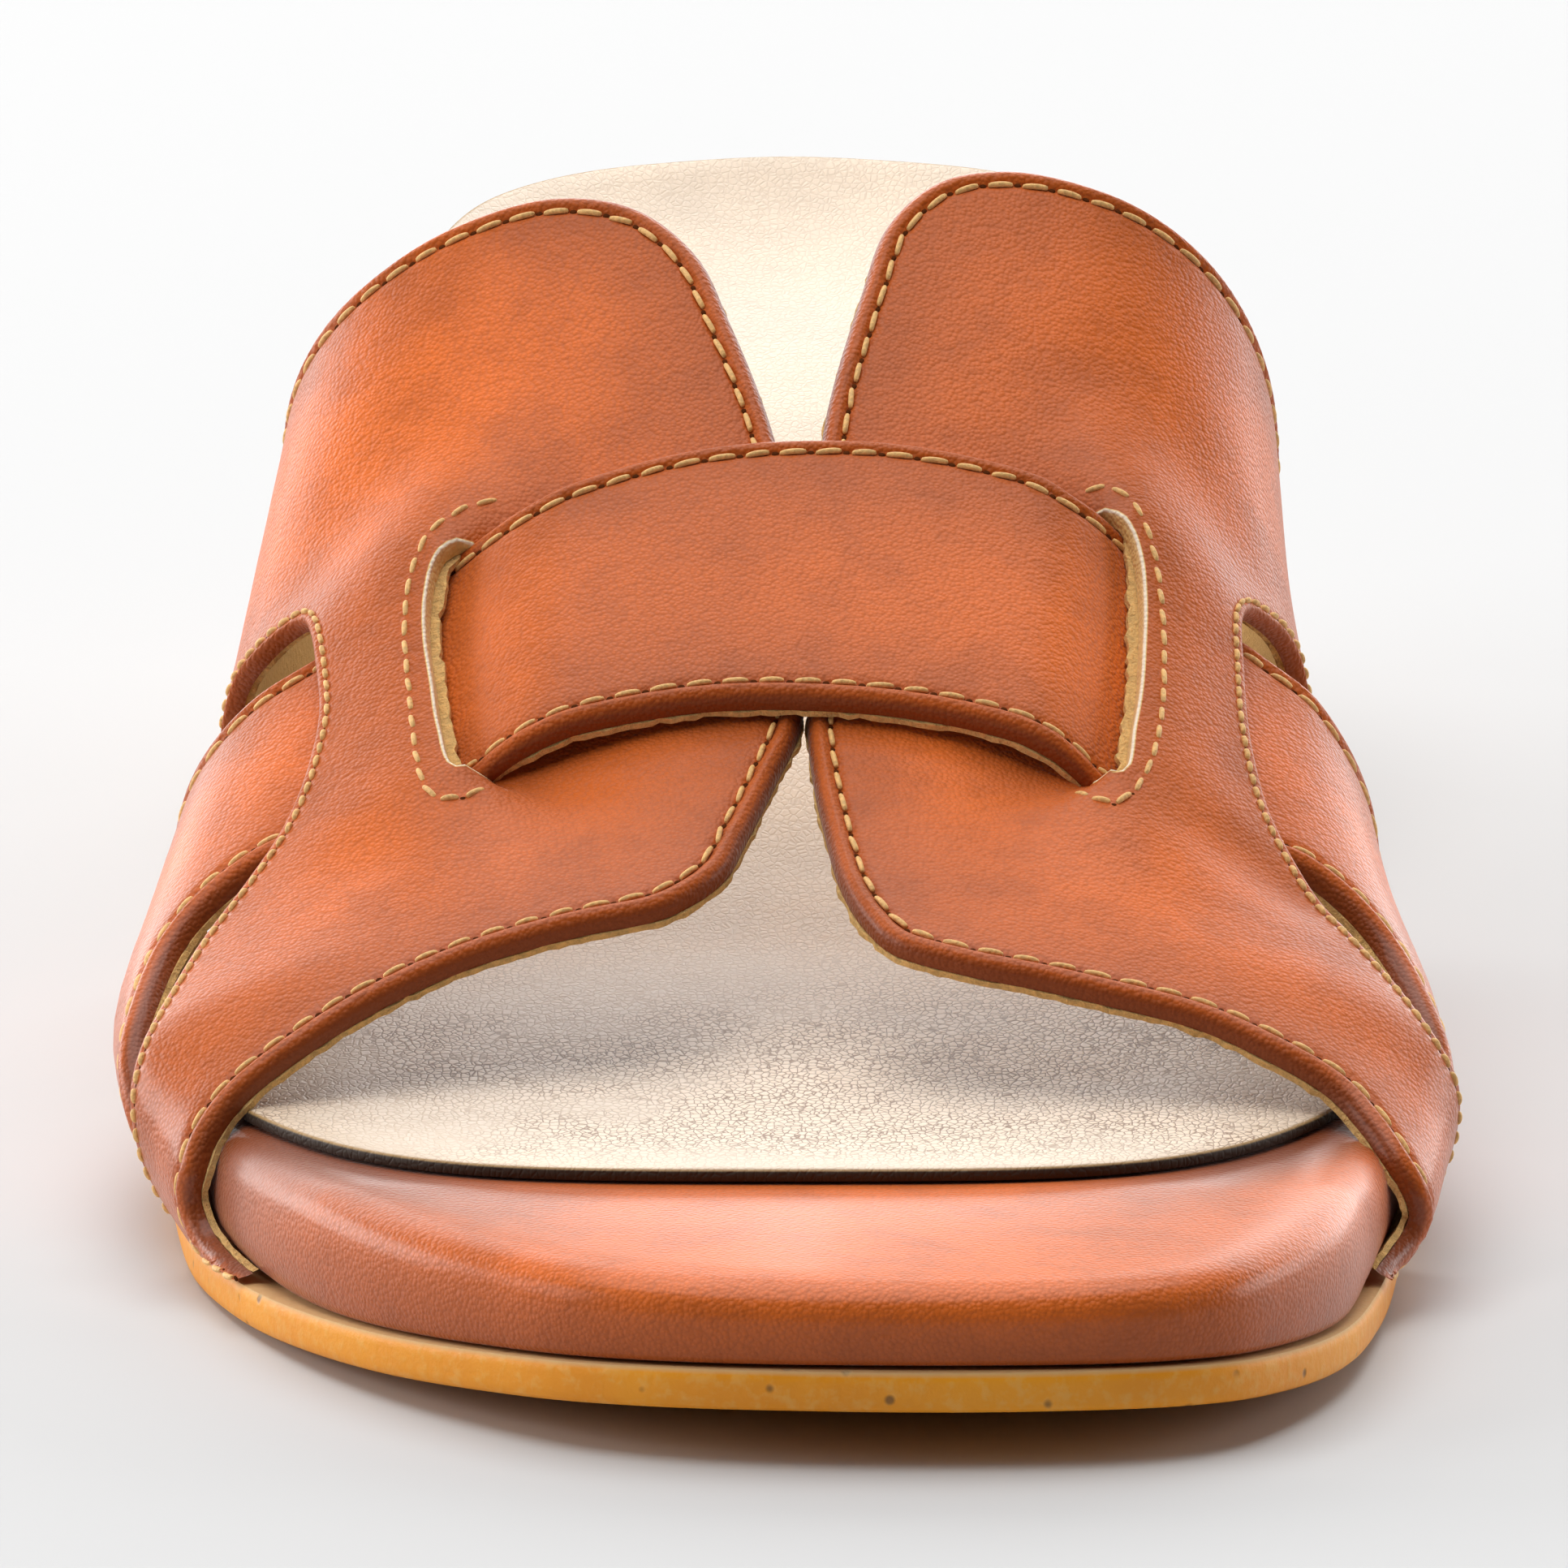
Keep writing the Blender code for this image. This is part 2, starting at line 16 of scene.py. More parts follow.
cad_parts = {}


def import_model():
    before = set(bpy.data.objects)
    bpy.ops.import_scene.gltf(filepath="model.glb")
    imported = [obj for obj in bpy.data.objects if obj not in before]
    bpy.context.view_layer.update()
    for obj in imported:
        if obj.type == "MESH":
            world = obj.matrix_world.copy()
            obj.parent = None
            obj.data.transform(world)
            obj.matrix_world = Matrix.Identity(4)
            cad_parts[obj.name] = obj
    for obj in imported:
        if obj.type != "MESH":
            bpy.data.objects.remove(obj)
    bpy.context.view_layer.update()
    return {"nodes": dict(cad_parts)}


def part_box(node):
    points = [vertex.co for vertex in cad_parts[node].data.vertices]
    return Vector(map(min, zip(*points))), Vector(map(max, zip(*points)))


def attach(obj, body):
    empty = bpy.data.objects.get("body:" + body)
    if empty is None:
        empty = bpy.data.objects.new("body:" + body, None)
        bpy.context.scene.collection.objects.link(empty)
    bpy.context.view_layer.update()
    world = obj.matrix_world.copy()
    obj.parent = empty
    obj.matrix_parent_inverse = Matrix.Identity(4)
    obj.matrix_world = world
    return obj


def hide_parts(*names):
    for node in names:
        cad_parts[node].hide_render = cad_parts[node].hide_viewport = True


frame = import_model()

bl_info = {
    "name": "Heeled mule",
    "version": (1, 0, 0),
    "blender": (4, 5, 0),
    "location": "View3D > Sidebar > Mule",
    "description": "Builds the finished surfaces of a leather mule around its solids",
    "category": "Object",
}

BODY = "root"
MM = 0.001
SEED = 7


def rows(kind, *values):
    """A table's rows as named tuples."""
    return [kind(*each) for each in values]


# Sole seen from above: widths are shares of half the ball width
Plan = namedtuple("Plan", "station lateral medial")
SOLE_PLAN = rows(
    Plan,
    (0.000, 0.07, 0.50), (0.016, 0.33, 0.69), (0.040, 0.490, 0.79), (0.081, 0.680, 0.885),
    (0.138, 0.850, 0.945), (0.194, 0.95, 0.98), (0.251, 0.995, 0.995), (0.308, 1.01, 0.975),
    (0.372, 0.985, 0.905), (0.445, 0.905, 0.79), (0.526, 0.80, 0.69), (0.615, 0.735, 0.65),
    (0.709, 0.725, 0.675), (0.802, 0.755, 0.735), (0.874, 0.720, 0.710), (0.935, 0.610, 0.605),
    (0.978, 0.400, 0.400), (1.000, 0.110, 0.110),
)

# Underside of the sole from the side: shares of the toe spring and of the heel rise
Profile = namedtuple("Profile", "station toe heel")
SOLE_PROFILE = rows(
    Profile,
    (0.000, 1.00, 0.000), (0.080, 0.44, 0.000), (0.160, 0.11, 0.000), (0.235, 0.00, 0.000),
    (0.372, 0.00, 0.000), (0.445, 0.00, 0.070), (0.526, 0.00, 0.250), (0.607, 0.00, 0.475),
    (0.688, 0.00, 0.685), (0.769, 0.00, 0.840), (0.850, 0.00, 0.935), (0.931, 0.00, 0.985),
    (1.000, 0.00, 1.000),
)

# How far the padded footbed stays inside the outsole's outline; it hugs the upper's legs
PadEdge = namedtuple("PadEdge", "station lateral medial")
PAD_EDGE = rows(
    PadEdge,
    (0.00, 0.3, 0.3), (0.10, 0.3, 0.3), (0.15, 0.6, 0.3), (0.19, 0.8, 0.0), (0.21, 0.3, -0.2),
    (0.25, -0.3, -0.3), (0.45, -0.2, -0.2), (0.55, 1.0, 1.0), (0.65, 2.2, 2.2), (1.00, 2.2, 2.2),
)

# Sections of the last: bulges are shares of half the ball width, heights are shares of the instep,
# shift moves the ridge towards the medial side, and roundness is the superellipse power
Section = namedtuple("Section", "station lateral medial bulge ridge shift roundness")
LAST_SECTIONS = rows(
    Section,
    (0.130, 0.860, 0.965, 0.040, 0.255, 0.05, 1.95),
    (0.182, 0.968, 1.042, 0.065, 0.325, 0.05, 1.95),
    (0.210, 1.025, 1.066, 0.095, 0.360, 0.05, 1.98),
    (0.243, 1.090, 1.095, 0.138, 0.400, 0.05, 2.00),
    (0.304, 1.110, 1.070, 0.135, 0.492, 0.07, 2.05),
    (0.364, 1.055, 0.985, 0.167, 0.602, 0.09, 2.25),
    (0.425, 0.975, 0.900, 0.220, 0.742, 0.11, 2.50),
    (0.486, 0.915, 0.850, 0.273, 0.904, 0.14, 2.80),
    (0.547, 0.862, 0.832, 0.303, 1.075, 0.14, 3.00),
    (0.648, 0.820, 0.800, 0.333, 1.325, 0.14, 3.00),
)

# Leather patterns: girth is the share of the way from the ridge (0) to the lateral (-1) or medial
# (1) feather line. A flap's edge runs from the sole at the front, past the ridge, back to the sole.
Mark = namedtuple("Mark", "station girth")
LATERAL_EDGE = rows(
    Mark,
    (0.150, -1.00), (0.168, -0.99), (0.182, -0.97), (0.187, -0.935), (0.186, -0.885),
    (0.190, -0.84), (0.197, -0.765), (0.205, -0.66), (0.216, -0.535), (0.228, -0.39),
    (0.236, -0.27), (0.241, -0.18), (0.250, -0.132), (0.260, -0.104), (0.276, -0.086),
    (0.302, -0.060), (0.326, -0.038), (0.376, -0.038), (0.430, -0.076), (0.472, -0.125),
    (0.494, -0.152), (0.510, -0.200), (0.518, -0.265), (0.521, -0.360), (0.524, -0.450),
    (0.534, -0.550), (0.556, -0.670), (0.580, -0.820), (0.594, -1.00),
)
MEDIAL_EDGE = rows(
    Mark,
    (0.148, 1.00), (0.163, 0.972), (0.170, 0.94), (0.169, 0.885), (0.172, 0.825), (0.181, 0.76),
    (0.190, 0.695), (0.197, 0.585), (0.202, 0.495), (0.205, 0.37), (0.208, 0.285), (0.212, 0.185),
    (0.221, 0.09), (0.234, 0.052), (0.252, 0.024), (0.277, 0.00), (0.300, -0.019), (0.326, -0.031),
    (0.376, -0.031), (0.440, -0.033), (0.480, -0.010), (0.502, 0.015), (0.515, 0.060),
    (0.520, 0.120), (0.522, 0.220), (0.526, 0.340), (0.535, 0.460), (0.556, 0.610), (0.580, 0.800),
    (0.594, 1.00),
)

# Side slits, from the sole along the rear leg, over the top and down the front leg to the sole
LATERAL_SLIT = rows(
    Mark,
    (0.445, -1.00), (0.443, -0.85), (0.441, -0.75), (0.434, -0.672), (0.425, -0.622),
    (0.418, -0.572), (0.412, -0.543), (0.401, -0.530), (0.382, -0.526), (0.362, -0.528),
    (0.346, -0.540), (0.330, -0.558), (0.316, -0.583), (0.301, -0.624), (0.281, -0.684),
    (0.254, -0.748), (0.238, -0.795), (0.230, -0.855), (0.228, -0.93), (0.227, -1.00),
)
MEDIAL_SLIT = rows(
    Mark,
    (0.445, 1.00), (0.444, 0.80), (0.442, 0.68), (0.439, 0.608), (0.432, 0.558), (0.422, 0.508),
    (0.412, 0.466), (0.401, 0.452), (0.380, 0.462), (0.348, 0.484), (0.319, 0.516), (0.300, 0.556),
    (0.285, 0.600), (0.259, 0.692), (0.239, 0.765), (0.232, 0.860), (0.230, 1.00),
)

# Slots that the strap dives through: the lip that shows, then back under the strap
LATERAL_SLOT = rows(
    Mark,
    (0.312, -0.384), (0.332, -0.400), (0.352, -0.405), (0.371, -0.408), (0.388, -0.404),
    (0.402, -0.390), (0.407, -0.368), (0.401, -0.345), (0.385, -0.328), (0.360, -0.320),
    (0.335, -0.324), (0.318, -0.345),
)
MEDIAL_SLOT = rows(
    Mark,
    (0.307, 0.331), (0.328, 0.338), (0.346, 0.340), (0.364, 0.336), (0.383, 0.328), (0.398, 0.316),
    (0.408, 0.298), (0.413, 0.272), (0.408, 0.252), (0.385, 0.250), (0.360, 0.258), (0.335, 0.266),
    (0.314, 0.288),
)

# Brackets of stitches round the slots' lips
LATERAL_BRACKET = rows(
    Mark,
    (0.420, -0.330), (0.419, -0.360), (0.413, -0.392), (0.400, -0.415), (0.378, -0.428),
    (0.352, -0.429), (0.322, -0.425), (0.304, -0.417), (0.298, -0.400), (0.300, -0.380),
    (0.304, -0.356),
)
MEDIAL_BRACKET = rows(
    Mark,
    (0.419, 0.246), (0.422, 0.274), (0.417, 0.300), (0.403, 0.328), (0.370, 0.357), (0.336, 0.368),
    (0.310, 0.360), (0.297, 0.344), (0.292, 0.322), (0.295, 0.300), (0.302, 0.284),
)

# Bridge strap from the lateral to the medial sole: its edges, how far it stands off the last, and
# how much further its rear edge flares out
Strap = namedtuple("Strap", "girth front rear lift flare")
BRIDGE_STRAP = rows(
    Strap,
    (-1.000, 0.243, 0.405, -0.3, 0.0),
    (-0.900, 0.251, 0.405, -0.3, 0.7),
    (-0.805, 0.273, 0.404, -0.4, 1.4),
    (-0.720, 0.308, 0.403, -0.5, 1.4),
    (-0.620, 0.319, 0.403, -0.9, 0.9),
    (-0.545, 0.319, 0.402, -1.4, 0.4),
    (-0.480, 0.317, 0.404, -1.6, 0.0),
    (-0.430, 0.315, 0.408, -1.3, 0.0),
    (-0.400, 0.314, 0.409, -0.8, 0.0),
    (-0.375, 0.314, 0.409, 0.0, 0.0),
    (-0.345, 0.315, 0.409, 1.2, 0.0),
    (-0.310, 0.317, 0.411, 2.1, 0.0),
    (-0.260, 0.320, 0.415, 2.6, 0.0),
    (-0.130, 0.324, 0.422, 2.6, 0.0),
    (0.000, 0.3225, 0.423, 2.6, 0.0),
    (0.130, 0.3185, 0.419, 2.6, 0.0),
    (0.200, 0.315, 0.416, 2.6, 0.0),
    (0.245, 0.312, 0.412, 2.2, 0.0),
    (0.280, 0.310, 0.411, 1.2, 0.0),
    (0.310, 0.308, 0.411, 0.0, 0.0),
    (0.335, 0.307, 0.411, -0.8, 0.0),
    (0.370, 0.307, 0.410, -1.4, 0.0),
    (0.430, 0.309, 0.408, -1.7, 0.0),
    (0.500, 0.311, 0.409, -1.6, 0.8),
    (0.580, 0.314, 0.407, -1.0, 2.2),
    (0.700, 0.304, 0.402, -0.6, 3.0),
    (0.800, 0.271, 0.402, -0.4, 2.7),
    (0.900, 0.247, 0.405, -0.3, 1.4),
    (1.000, 0.243, 0.410, -0.3, 0.0),
)

# Soft troughs (negative) and ridges (positive) pressed into a flap, with their half width
Crease = namedtuple("Crease", "start end height width")
LATERAL_CREASES = [
    Crease(Mark(0.432, -0.52), Mark(0.462, -0.36), -0.55, 5.0),
    Crease(Mark(0.400, -0.50), Mark(0.418, -0.43), 0.25, 4.0),
    Crease(Mark(0.300, -0.30), Mark(0.285, -0.48), -0.40, 3.5),
]
MEDIAL_CREASES = [
    Crease(Mark(0.432, 0.42), Mark(0.458, 0.27), -0.55, 5.0),
    Crease(Mark(0.400, 0.42), Mark(0.420, 0.34), 0.20, 4.5),
    Crease(Mark(0.300, 0.37), Mark(0.280, 0.56), -0.50, 3.0),
]

# Edge rings of the flat pieces: how far in from the outline, and how far up from floor to roof
Ring = namedtuple("Ring", "inset share")
OUTSOLE_RINGS = rows(
    Ring,
    (1.20, 0.00), (0.45, 0.03), (0.12, 0.12), (0.00, 0.30), (0.00, 0.70), (0.06, 0.86),
    (0.25, 0.97), (0.80, 1.00),
)
FOOTBED_RINGS = rows(
    Ring,
    (2.90, 0.00), (2.10, 0.02), (1.30, 0.07), (0.70, 0.15), (0.25, 0.25), (0.04, 0.36),
    (0.00, 0.48), (0.06, 0.60), (0.22, 0.71), (0.50, 0.80), (0.95, 0.88), (1.60, 0.942),
    (2.50, 0.982), (3.60, 1.00),
)
INSOLE_RINGS = rows(
    Ring,
    (0.50, 0.00), (0.10, 0.08), (0.00, 0.30), (0.00, 0.70), (0.12, 0.90), (0.45, 1.00),
)
HEEL_RINGS = rows(
    Ring,
    (4.60, 0.000), (4.10, 0.008), (3.80, 0.030), (3.00, 0.10), (2.30, 0.25), (1.60, 0.45),
    (0.90, 0.65), (0.35, 0.85), (0.10, 0.96), (0.45, 1.00),
)
FACE_SHARES = (0.08, 0.18, 0.30, 0.44, 0.58, 0.72, 0.84, 0.92)

# Kinds of leather edge, and lists with a value for each kind: how deep the edge rolls over, how far
# the thread sinks in, how far and how strongly it is burnished, and how far the lining stays back
TURNED, BOUND, RAW, TUCKED = range(4)
THREAD_GROOVE = 0.28
EDGE_RADIUS = np.array([0.95, 0.45, 0.20, 0.20])
GROOVE_DEPTH = np.array([THREAD_GROOVE, 0.5 * THREAD_GROOVE, 0.0, 0.0])
BURNISH_REACH = np.array([0.5, 0.4, 1.0, 1.0])
BURNISH = np.array([1.0, 0.55, 0.0, 0.0])
LINING_BACK = np.array([-0.06, 0.6, 0.05, 0.05])
BACK_BURNISH = 0.7

# Where the thread sinks in, where a turned edge swells, and how far and how strongly a cut edge is pale
# and leather near an edge is darkened, partly as wear and partly as painted shade
STITCH_INSET, BOUND_INSET = 1.65, 0.85
GROOVE_WIDTH = 0.30
TURNED_SWELL, SWELL_INSET, SWELL_WIDTH = 0.20, 0.9, 0.5
RAW_REACH, RAW_RIM, RAW_BACK = 0.2, 0.7, 0.5
SHADE_AND_WEAR, SHADE_AND_WEAR_REACH = 0.5, 7.0
ON_RIM = 0.01

# Mesh steps of the leathers: rings inside their edges, steps along them, and the grids between
EDGE_RINGS = (0.05, 0.15, 0.3, 0.5, 0.75, 1.0, 1.25, 1.45, 1.65, 1.85, 2.15, 2.7, 3.6)
EDGE_STEP, FINE_STEP, RIM_LEAST = 0.8, 0.25, 8
FIELD_GRID, BACK_GRID, GRID_ROW = 1.6, 3.2, 0.866
RING_CLEARANCE, GRID_CLEARANCE = 0.94, 0.6
SPLINE_PIECES = 4
WELD = 1e-6

# The last's grid: the stations it spans, its steps, and how far its two sides blend at the ridge
HALF_GIRTH = 62.0
ARC_STEPS = 120
STATION_SPAN, STATION_STEP = (0.130, 0.62), 0.5
GIRTH_STEPS = 481
CELL_END = 1.001
RIDGE_BLEND = 0.09
PROBE, INWARD_PROBE = 0.4, 0.5


def measure(name, description, default):
    """A size in metres that a user would change."""
    return bpy.props.FloatProperty(
        name=name, description=description, default=default, unit="LENGTH")


def tone(name, description, default):
    """A colour that a user would change."""
    return bpy.props.FloatVectorProperty(
        name=name, description=description, default=default, subtype="COLOR")


class MuleSizes(bpy.types.PropertyGroup):
    """Driving sizes of the shoe."""

    length: measure("Length", "Toe tip to heel", 0.247)
    ball_width: measure("Ball width", "Outsole width at the ball", 0.088)
    instep: measure("Instep", "Height that the last's sections share out", 0.066)
    heel_rise: measure("Heel rise", "Underside of the sole at the heel", 0.0249)
    toe_spring: measure("Toe spring", "Underside of the sole at the toe", 0.004)
    outsole_thick: measure("Outsole", "Thickness of the outsole", 0.003)
    footbed_thick: measure("Footbed", "Thickness of the padded footbed", 0.0095)
    insole_thick: measure("Insole", "Thickness of the insole leather", 0.0010)
    leather_thick: measure("Leather", "Thickness of the outer leather", 0.0014)
    lining_thick: measure("Lining", "Thickness of the suede lining", 0.0005)
    stitch_pitch: measure("Stitch pitch", "Needle hole to needle hole", 0.0026)


class MuleColours(bpy.types.PropertyGroup):
    """Colours of the finishes."""

    cognac: tone("Cognac", "Outer leather", (0.86, 0.172, 0.016))
    # Also the colour of the painted shade near edges, low on the pad and in its corners
    cognac_dark: tone(
        "Burnished cognac", "Leather at rubbed edges and in pores", (0.22, 0.046, 0.009))
    suede: tone("Suede", "Lining and cut edges", (0.96, 0.58, 0.20))
    cream: tone("Cream", "Insole leather", (0.84, 0.66, 0.49))
    honey: tone("Honey", "Outsole", (0.94, 0.37, 0.015))
    stacked: tone("Stacked heel", "Heel lifts", (0.40, 0.19, 0.065))
    thread: tone("Thread", "Stitching", (0.97, 0.57, 0.20))
    floor: tone("Floor", "Studio floor", (0.61, 0.61, 0.61))


def size(name):
    """A driving size in millimetres."""
    return getattr(bpy.context.scene.mule_sizes, name) / MM


def colour(name, share=1.0):
    """A finish's colour, or a darker share of it."""
    return tuple(share * c for c in getattr(bpy.context.scene.mule_colours, name)) + (1.0,)


# Curves and tables

def monotone(knots, values, at):
    """Cubic through a table's rows that never overshoots, read at one or many places."""
    widths = np.diff(knots)
    slopes = np.diff(values) / widths
    tangents = np.zeros(len(knots))
    tangents[0], tangents[-1] = slopes[0], slopes[-1]
    for i in range(1, len(knots) - 1):
        before, after = slopes[i - 1], slopes[i]
        if before * after > 0:
            first = 2 * widths[i] + widths[i - 1]
            second = widths[i] + 2 * widths[i - 1]
            tangents[i] = (first + second) / (first / before + second / after)
    at = np.clip(at, knots[0], knots[-1])
    i = np.clip(np.searchsorted(knots, at) - 1, 0, len(widths) - 1)
    t = (at - knots[i]) / widths[i]
    rise_in = (t**3 - 2 * t**2 + t) * widths[i] * tangents[i]
    rise_out = (t**3 - t**2) * widths[i] * tangents[i + 1]
    step = t * t * (3 - 2 * t)
    return values[i] * (1 - step) + values[i + 1] * step + rise_in + rise_out


def column(table, name, at, key="station"):
    """One named column of a table, read at a station or another key."""
    knots = np.array([getattr(row, key) for row in table])
    values = np.array([getattr(row, name) for row in table])
    return monotone(knots, values, np.asarray(at, float))


def ease(low, high, at):
    """Smooth step from 0 to 1."""
    t = np.clip((np.asarray(at, float) - low) / np.subtract(high, low), 0.0, 1.0)
    return t * t * (3 - 2 * t)


def lengths_along(path):
    """Distance along a path from its start to each of its points."""
    return np.concatenate([[0.0], np.cumsum(np.linalg.norm(np.diff(path, axis=0), axis=1))])


def resample(path, step, closed):
    """Points about a step apart along a path."""
    path = np.asarray(path, float)
    if closed:
        path = np.vstack([path, path[:1]])
    lengths = lengths_along(path)
    total = max(2, round(lengths[-1] / step))
    marks = np.linspace(0.0, lengths[-1], total + 1)
    found = np.stack([np.interp(marks, lengths, path[:, k]) for k in range(path.shape[1])], axis=1)
    return found[:-1] if closed else found


def curve_through(points, step, closed):
    """Points about a step apart on a centripetal spline through a short list of points."""
    knots = [Vector(p) for p in points]
    count = len(knots)
    path = []
    for i in range(count if closed else count - 1):
        if closed:
            p0, p1, p2, p3 = (knots[(i + k) % count] for k in (-1, 0, 1, 2))
        else:
            p1, p2 = knots[i], knots[i + 1]
            p0 = knots[i - 1] if i else p1 * 2 - p2
            p3 = knots[i + 2] if i + 2 < count else p2 * 2 - p1
        t1 = (p1 - p0).length ** 0.5
        t2 = t1 + (p2 - p1).length ** 0.5
        t3 = t2 + (p3 - p2).length ** 0.5
        pieces = max(SPLINE_PIECES, round((p2 - p1).length / step * SPLINE_PIECES))
        for k in range(pieces):
            t = t1 + (t2 - t1) * k / pieces
            a1 = p0.lerp(p1, t / t1)
            a2 = p1.lerp(p2, (t - t1) / (t2 - t1))
            a3 = p2.lerp(p3, (t - t2) / (t3 - t2))
            b1 = a1.lerp(a2, t / t2)
            b2 = a2.lerp(a3, (t - t1) / (t3 - t1))
            path.append(b1.lerp(b2, (t - t1) / (t2 - t1)))
    if not closed:
        path.append(knots[-1])
    return resample(path, step, closed)


def inset(outline, distance):
    """The outline moved inwards; it runs anticlockwise as seen from above."""
    along = np.roll(outline, -1, axis=0) - np.roll(outline, 1, axis=0)
    along /= np.linalg.norm(along, axis=1)[:, None]
    return outline + np.stack([-along[:, 1], along[:, 0]], axis=1) * distance


def inside(points, outline):
    """Which points lie inside a closed outline."""
    found = np.zeros(len(points), bool)
    x, y = points[:, 0], points[:, 1]
    for (x1, y1), (x2, y2) in zip(outline, np.roll(outline, -1, axis=0)):
        if y1 != y2:
            crosses = ((y1 > y) != (y2 > y)) & (x < x1 + (y - y1) / (y2 - y1) * (x2 - x1))
            found ^= crosses
    return found


# The sole's surfaces

FRONT_THIN, THIN_FROM, THIN_TO = 0.9, 0.15, 0.36
TOE_TUCK, TUCK_FROM, TUCK_TO = 0.2, 0.08, 0.20
HEEL_CUP = 6.0
CUP_START, CUP_FULL, CUP_CENTRE = 0.62, 0.84, 0.83
INSOLE_MARGIN, INSOLE_FRONT, INSOLE_FRONT_BOW = 1.6, 0.116, 34.0
HEEL_BREAST, HEEL_BREAST_BOW, HEEL_MARGIN = 0.755, 5.0, 1.2
GAP, INSOLE_GAP, FEATHER_OVERHANG = 0.3, 0.15, 0.5
OUTSOLE_SPINE, HEEL_SPINE = (26.0, 222.0), (208.0, 222.0)
FOOTBED_SPINE, INSOLE_SPINE = (26.0, 218.0), (48.0, 215.0)
RIM_STEP = 1.1
# Painted shade on the pad, with some rubbing: how far it reaches from the insole's front edge, its
# share at three edge rings and where those rings lie, and how far out towards the legs the band and the
# dark corners begin
PAD_SHADE_REACH = 12.0
PAD_SHADE_AND_WEAR, SHADE_HALVES, SHADE_ENDS = (0.85, 0.45, 0.0), 6, 4
SHADE_SPAN, CORNER_SHADE_SPAN = (0.35, 0.75), (0.5, 0.9)
CORNER_PASSES = 12
TOP_LINE_RINGS = 2


@cache
def sole_outline():
    """The outsole from above, anticlockwise from the toe: medial side back, lateral side forward."""
    half = size("ball_width") / 2
    medial = [(row.medial * half, row.station * size("length")) for row in SOLE_PLAN]
    lateral = [(-row.lateral * half, row.station * size("length")) for row in SOLE_PLAN]
    return curve_through(medial + lateral[::-1], RIM_STEP, closed=True)


@cache
def shoe_offset():
    """From the shoe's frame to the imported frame, read off the outsole's box."""
    low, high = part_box("outsole")
    middle = (np.array(low) + np.array(high)) / 2 / MM
    rim = sole_outline()
    own = (rim.min(axis=0) + rim.max(axis=0)) / 2
    return np.array([middle[0] - own[0], middle[1] - own[1], 0.0])


def world(points):
    return (np.asarray(points, float) + shoe_offset()) * MM


def half_width(station, side):
    """Half width of the outsole on the lateral (-1) or the medial (1) side."""
    return column(SOLE_PLAN, "medial" if side > 0 else "lateral", station) * size("ball_width") / 2


def half_at(x, station):
    """Half width of the outsole on the side where each x lies."""
    return np.where(x > 0, half_width(station, 1), half_width(station, -1))


def underside(points):
    """Height of the outsole's underside: toe spring, flat forefoot, arch and heel seat."""
    station = points[:, 1] / size("length")
    toe = column(SOLE_PROFILE, "toe", station) * size("toe_spring")
    return toe + column(SOLE_PROFILE, "heel", station) * size("heel_rise")


def outsole_top(points):
    return underside(points) + size("outsole_thick")


def heel_cup(points):
    """How far the footbed rises towards its rim around the heel."""
    x, y = points[:, 0], points[:, 1]
    centre = CUP_CENTRE * size("length")
    station = np.minimum(y, centre) / size("length")
    across = x / half_at(x, station)
    behind = np.maximum(y - centre, 0.0) / (size("length") - centre)
    reach = np.minimum(np.hypot(across, behind), 1.0)
    return HEEL_CUP * ease(CUP_START, CUP_FULL, y / size("length")) * reach**3


def footbed_floor(points):
    return outsole_top(points) + GAP


def footbed_top(points):
    """The pad's top: level in front of the insole, thicker behind the ball, cupped at the heel."""
    station = points[:, 1] / size("length")
    level = points.copy()
    level[:, 1] = np.maximum(points[:, 1], INSOLE_FRONT * size("length"))
    thick = size("footbed_thick") - FRONT_THIN * (1.0 - ease(THIN_FROM, THIN_TO, station))
    return footbed_floor(level) + thick + heel_cup(points)


@cache
def footbed_outline():
    """The pad from above: close to the sole's edge at the toe, out to the wall between the legs."""
    rim = sole_outline()
    station = rim[:, 1] / size("length")
    medial, lateral = column(PAD_EDGE, "medial", station), column(PAD_EDGE, "lateral", station)
    return inset(rim, np.where(rim[:, 0] > 0, medial, lateral)[:, None])


def insole_front(x):
    """Station of the insole's bowed front edge."""
    return INSOLE_FRONT * size("length") + INSOLE_FRONT_BOW * (2 * x / size("ball_width")) ** 4


def cut_line(outline, line):
    """The part of an outline behind a line across the foot, closed along that line."""
    behind = outline[:, 1] > line(outline[:, 0])
    first = int(np.argmax(behind))
    kept = outline[first:first + int(behind.sum())]
    start, end = kept[0], kept[-1]
    steps = max(2, round(abs(start[0] - end[0]) / RIM_STEP))
    across = np.linspace(end[0], start[0], steps + 1)[1:-1]
    found = np.vstack([kept, np.stack([across, line(across)], axis=1)])
    for _ in range(CORNER_PASSES):
        found = (np.roll(found, 1, axis=0) + 2 * found + np.roll(found, -1, axis=0)) / 4
    return found


# Lofting the flat pieces

def deselect():
    if bpy.context.mode != "OBJECT":
        bpy.ops.object.mode_set(mode="OBJECT")
    bpy.ops.object.select_all(action="DESELECT")


def choose(made):
    """Makes an object the only selected one, and the active one."""
    deselect()
    made.select_set(True)
    bpy.context.view_layer.objects.active = made


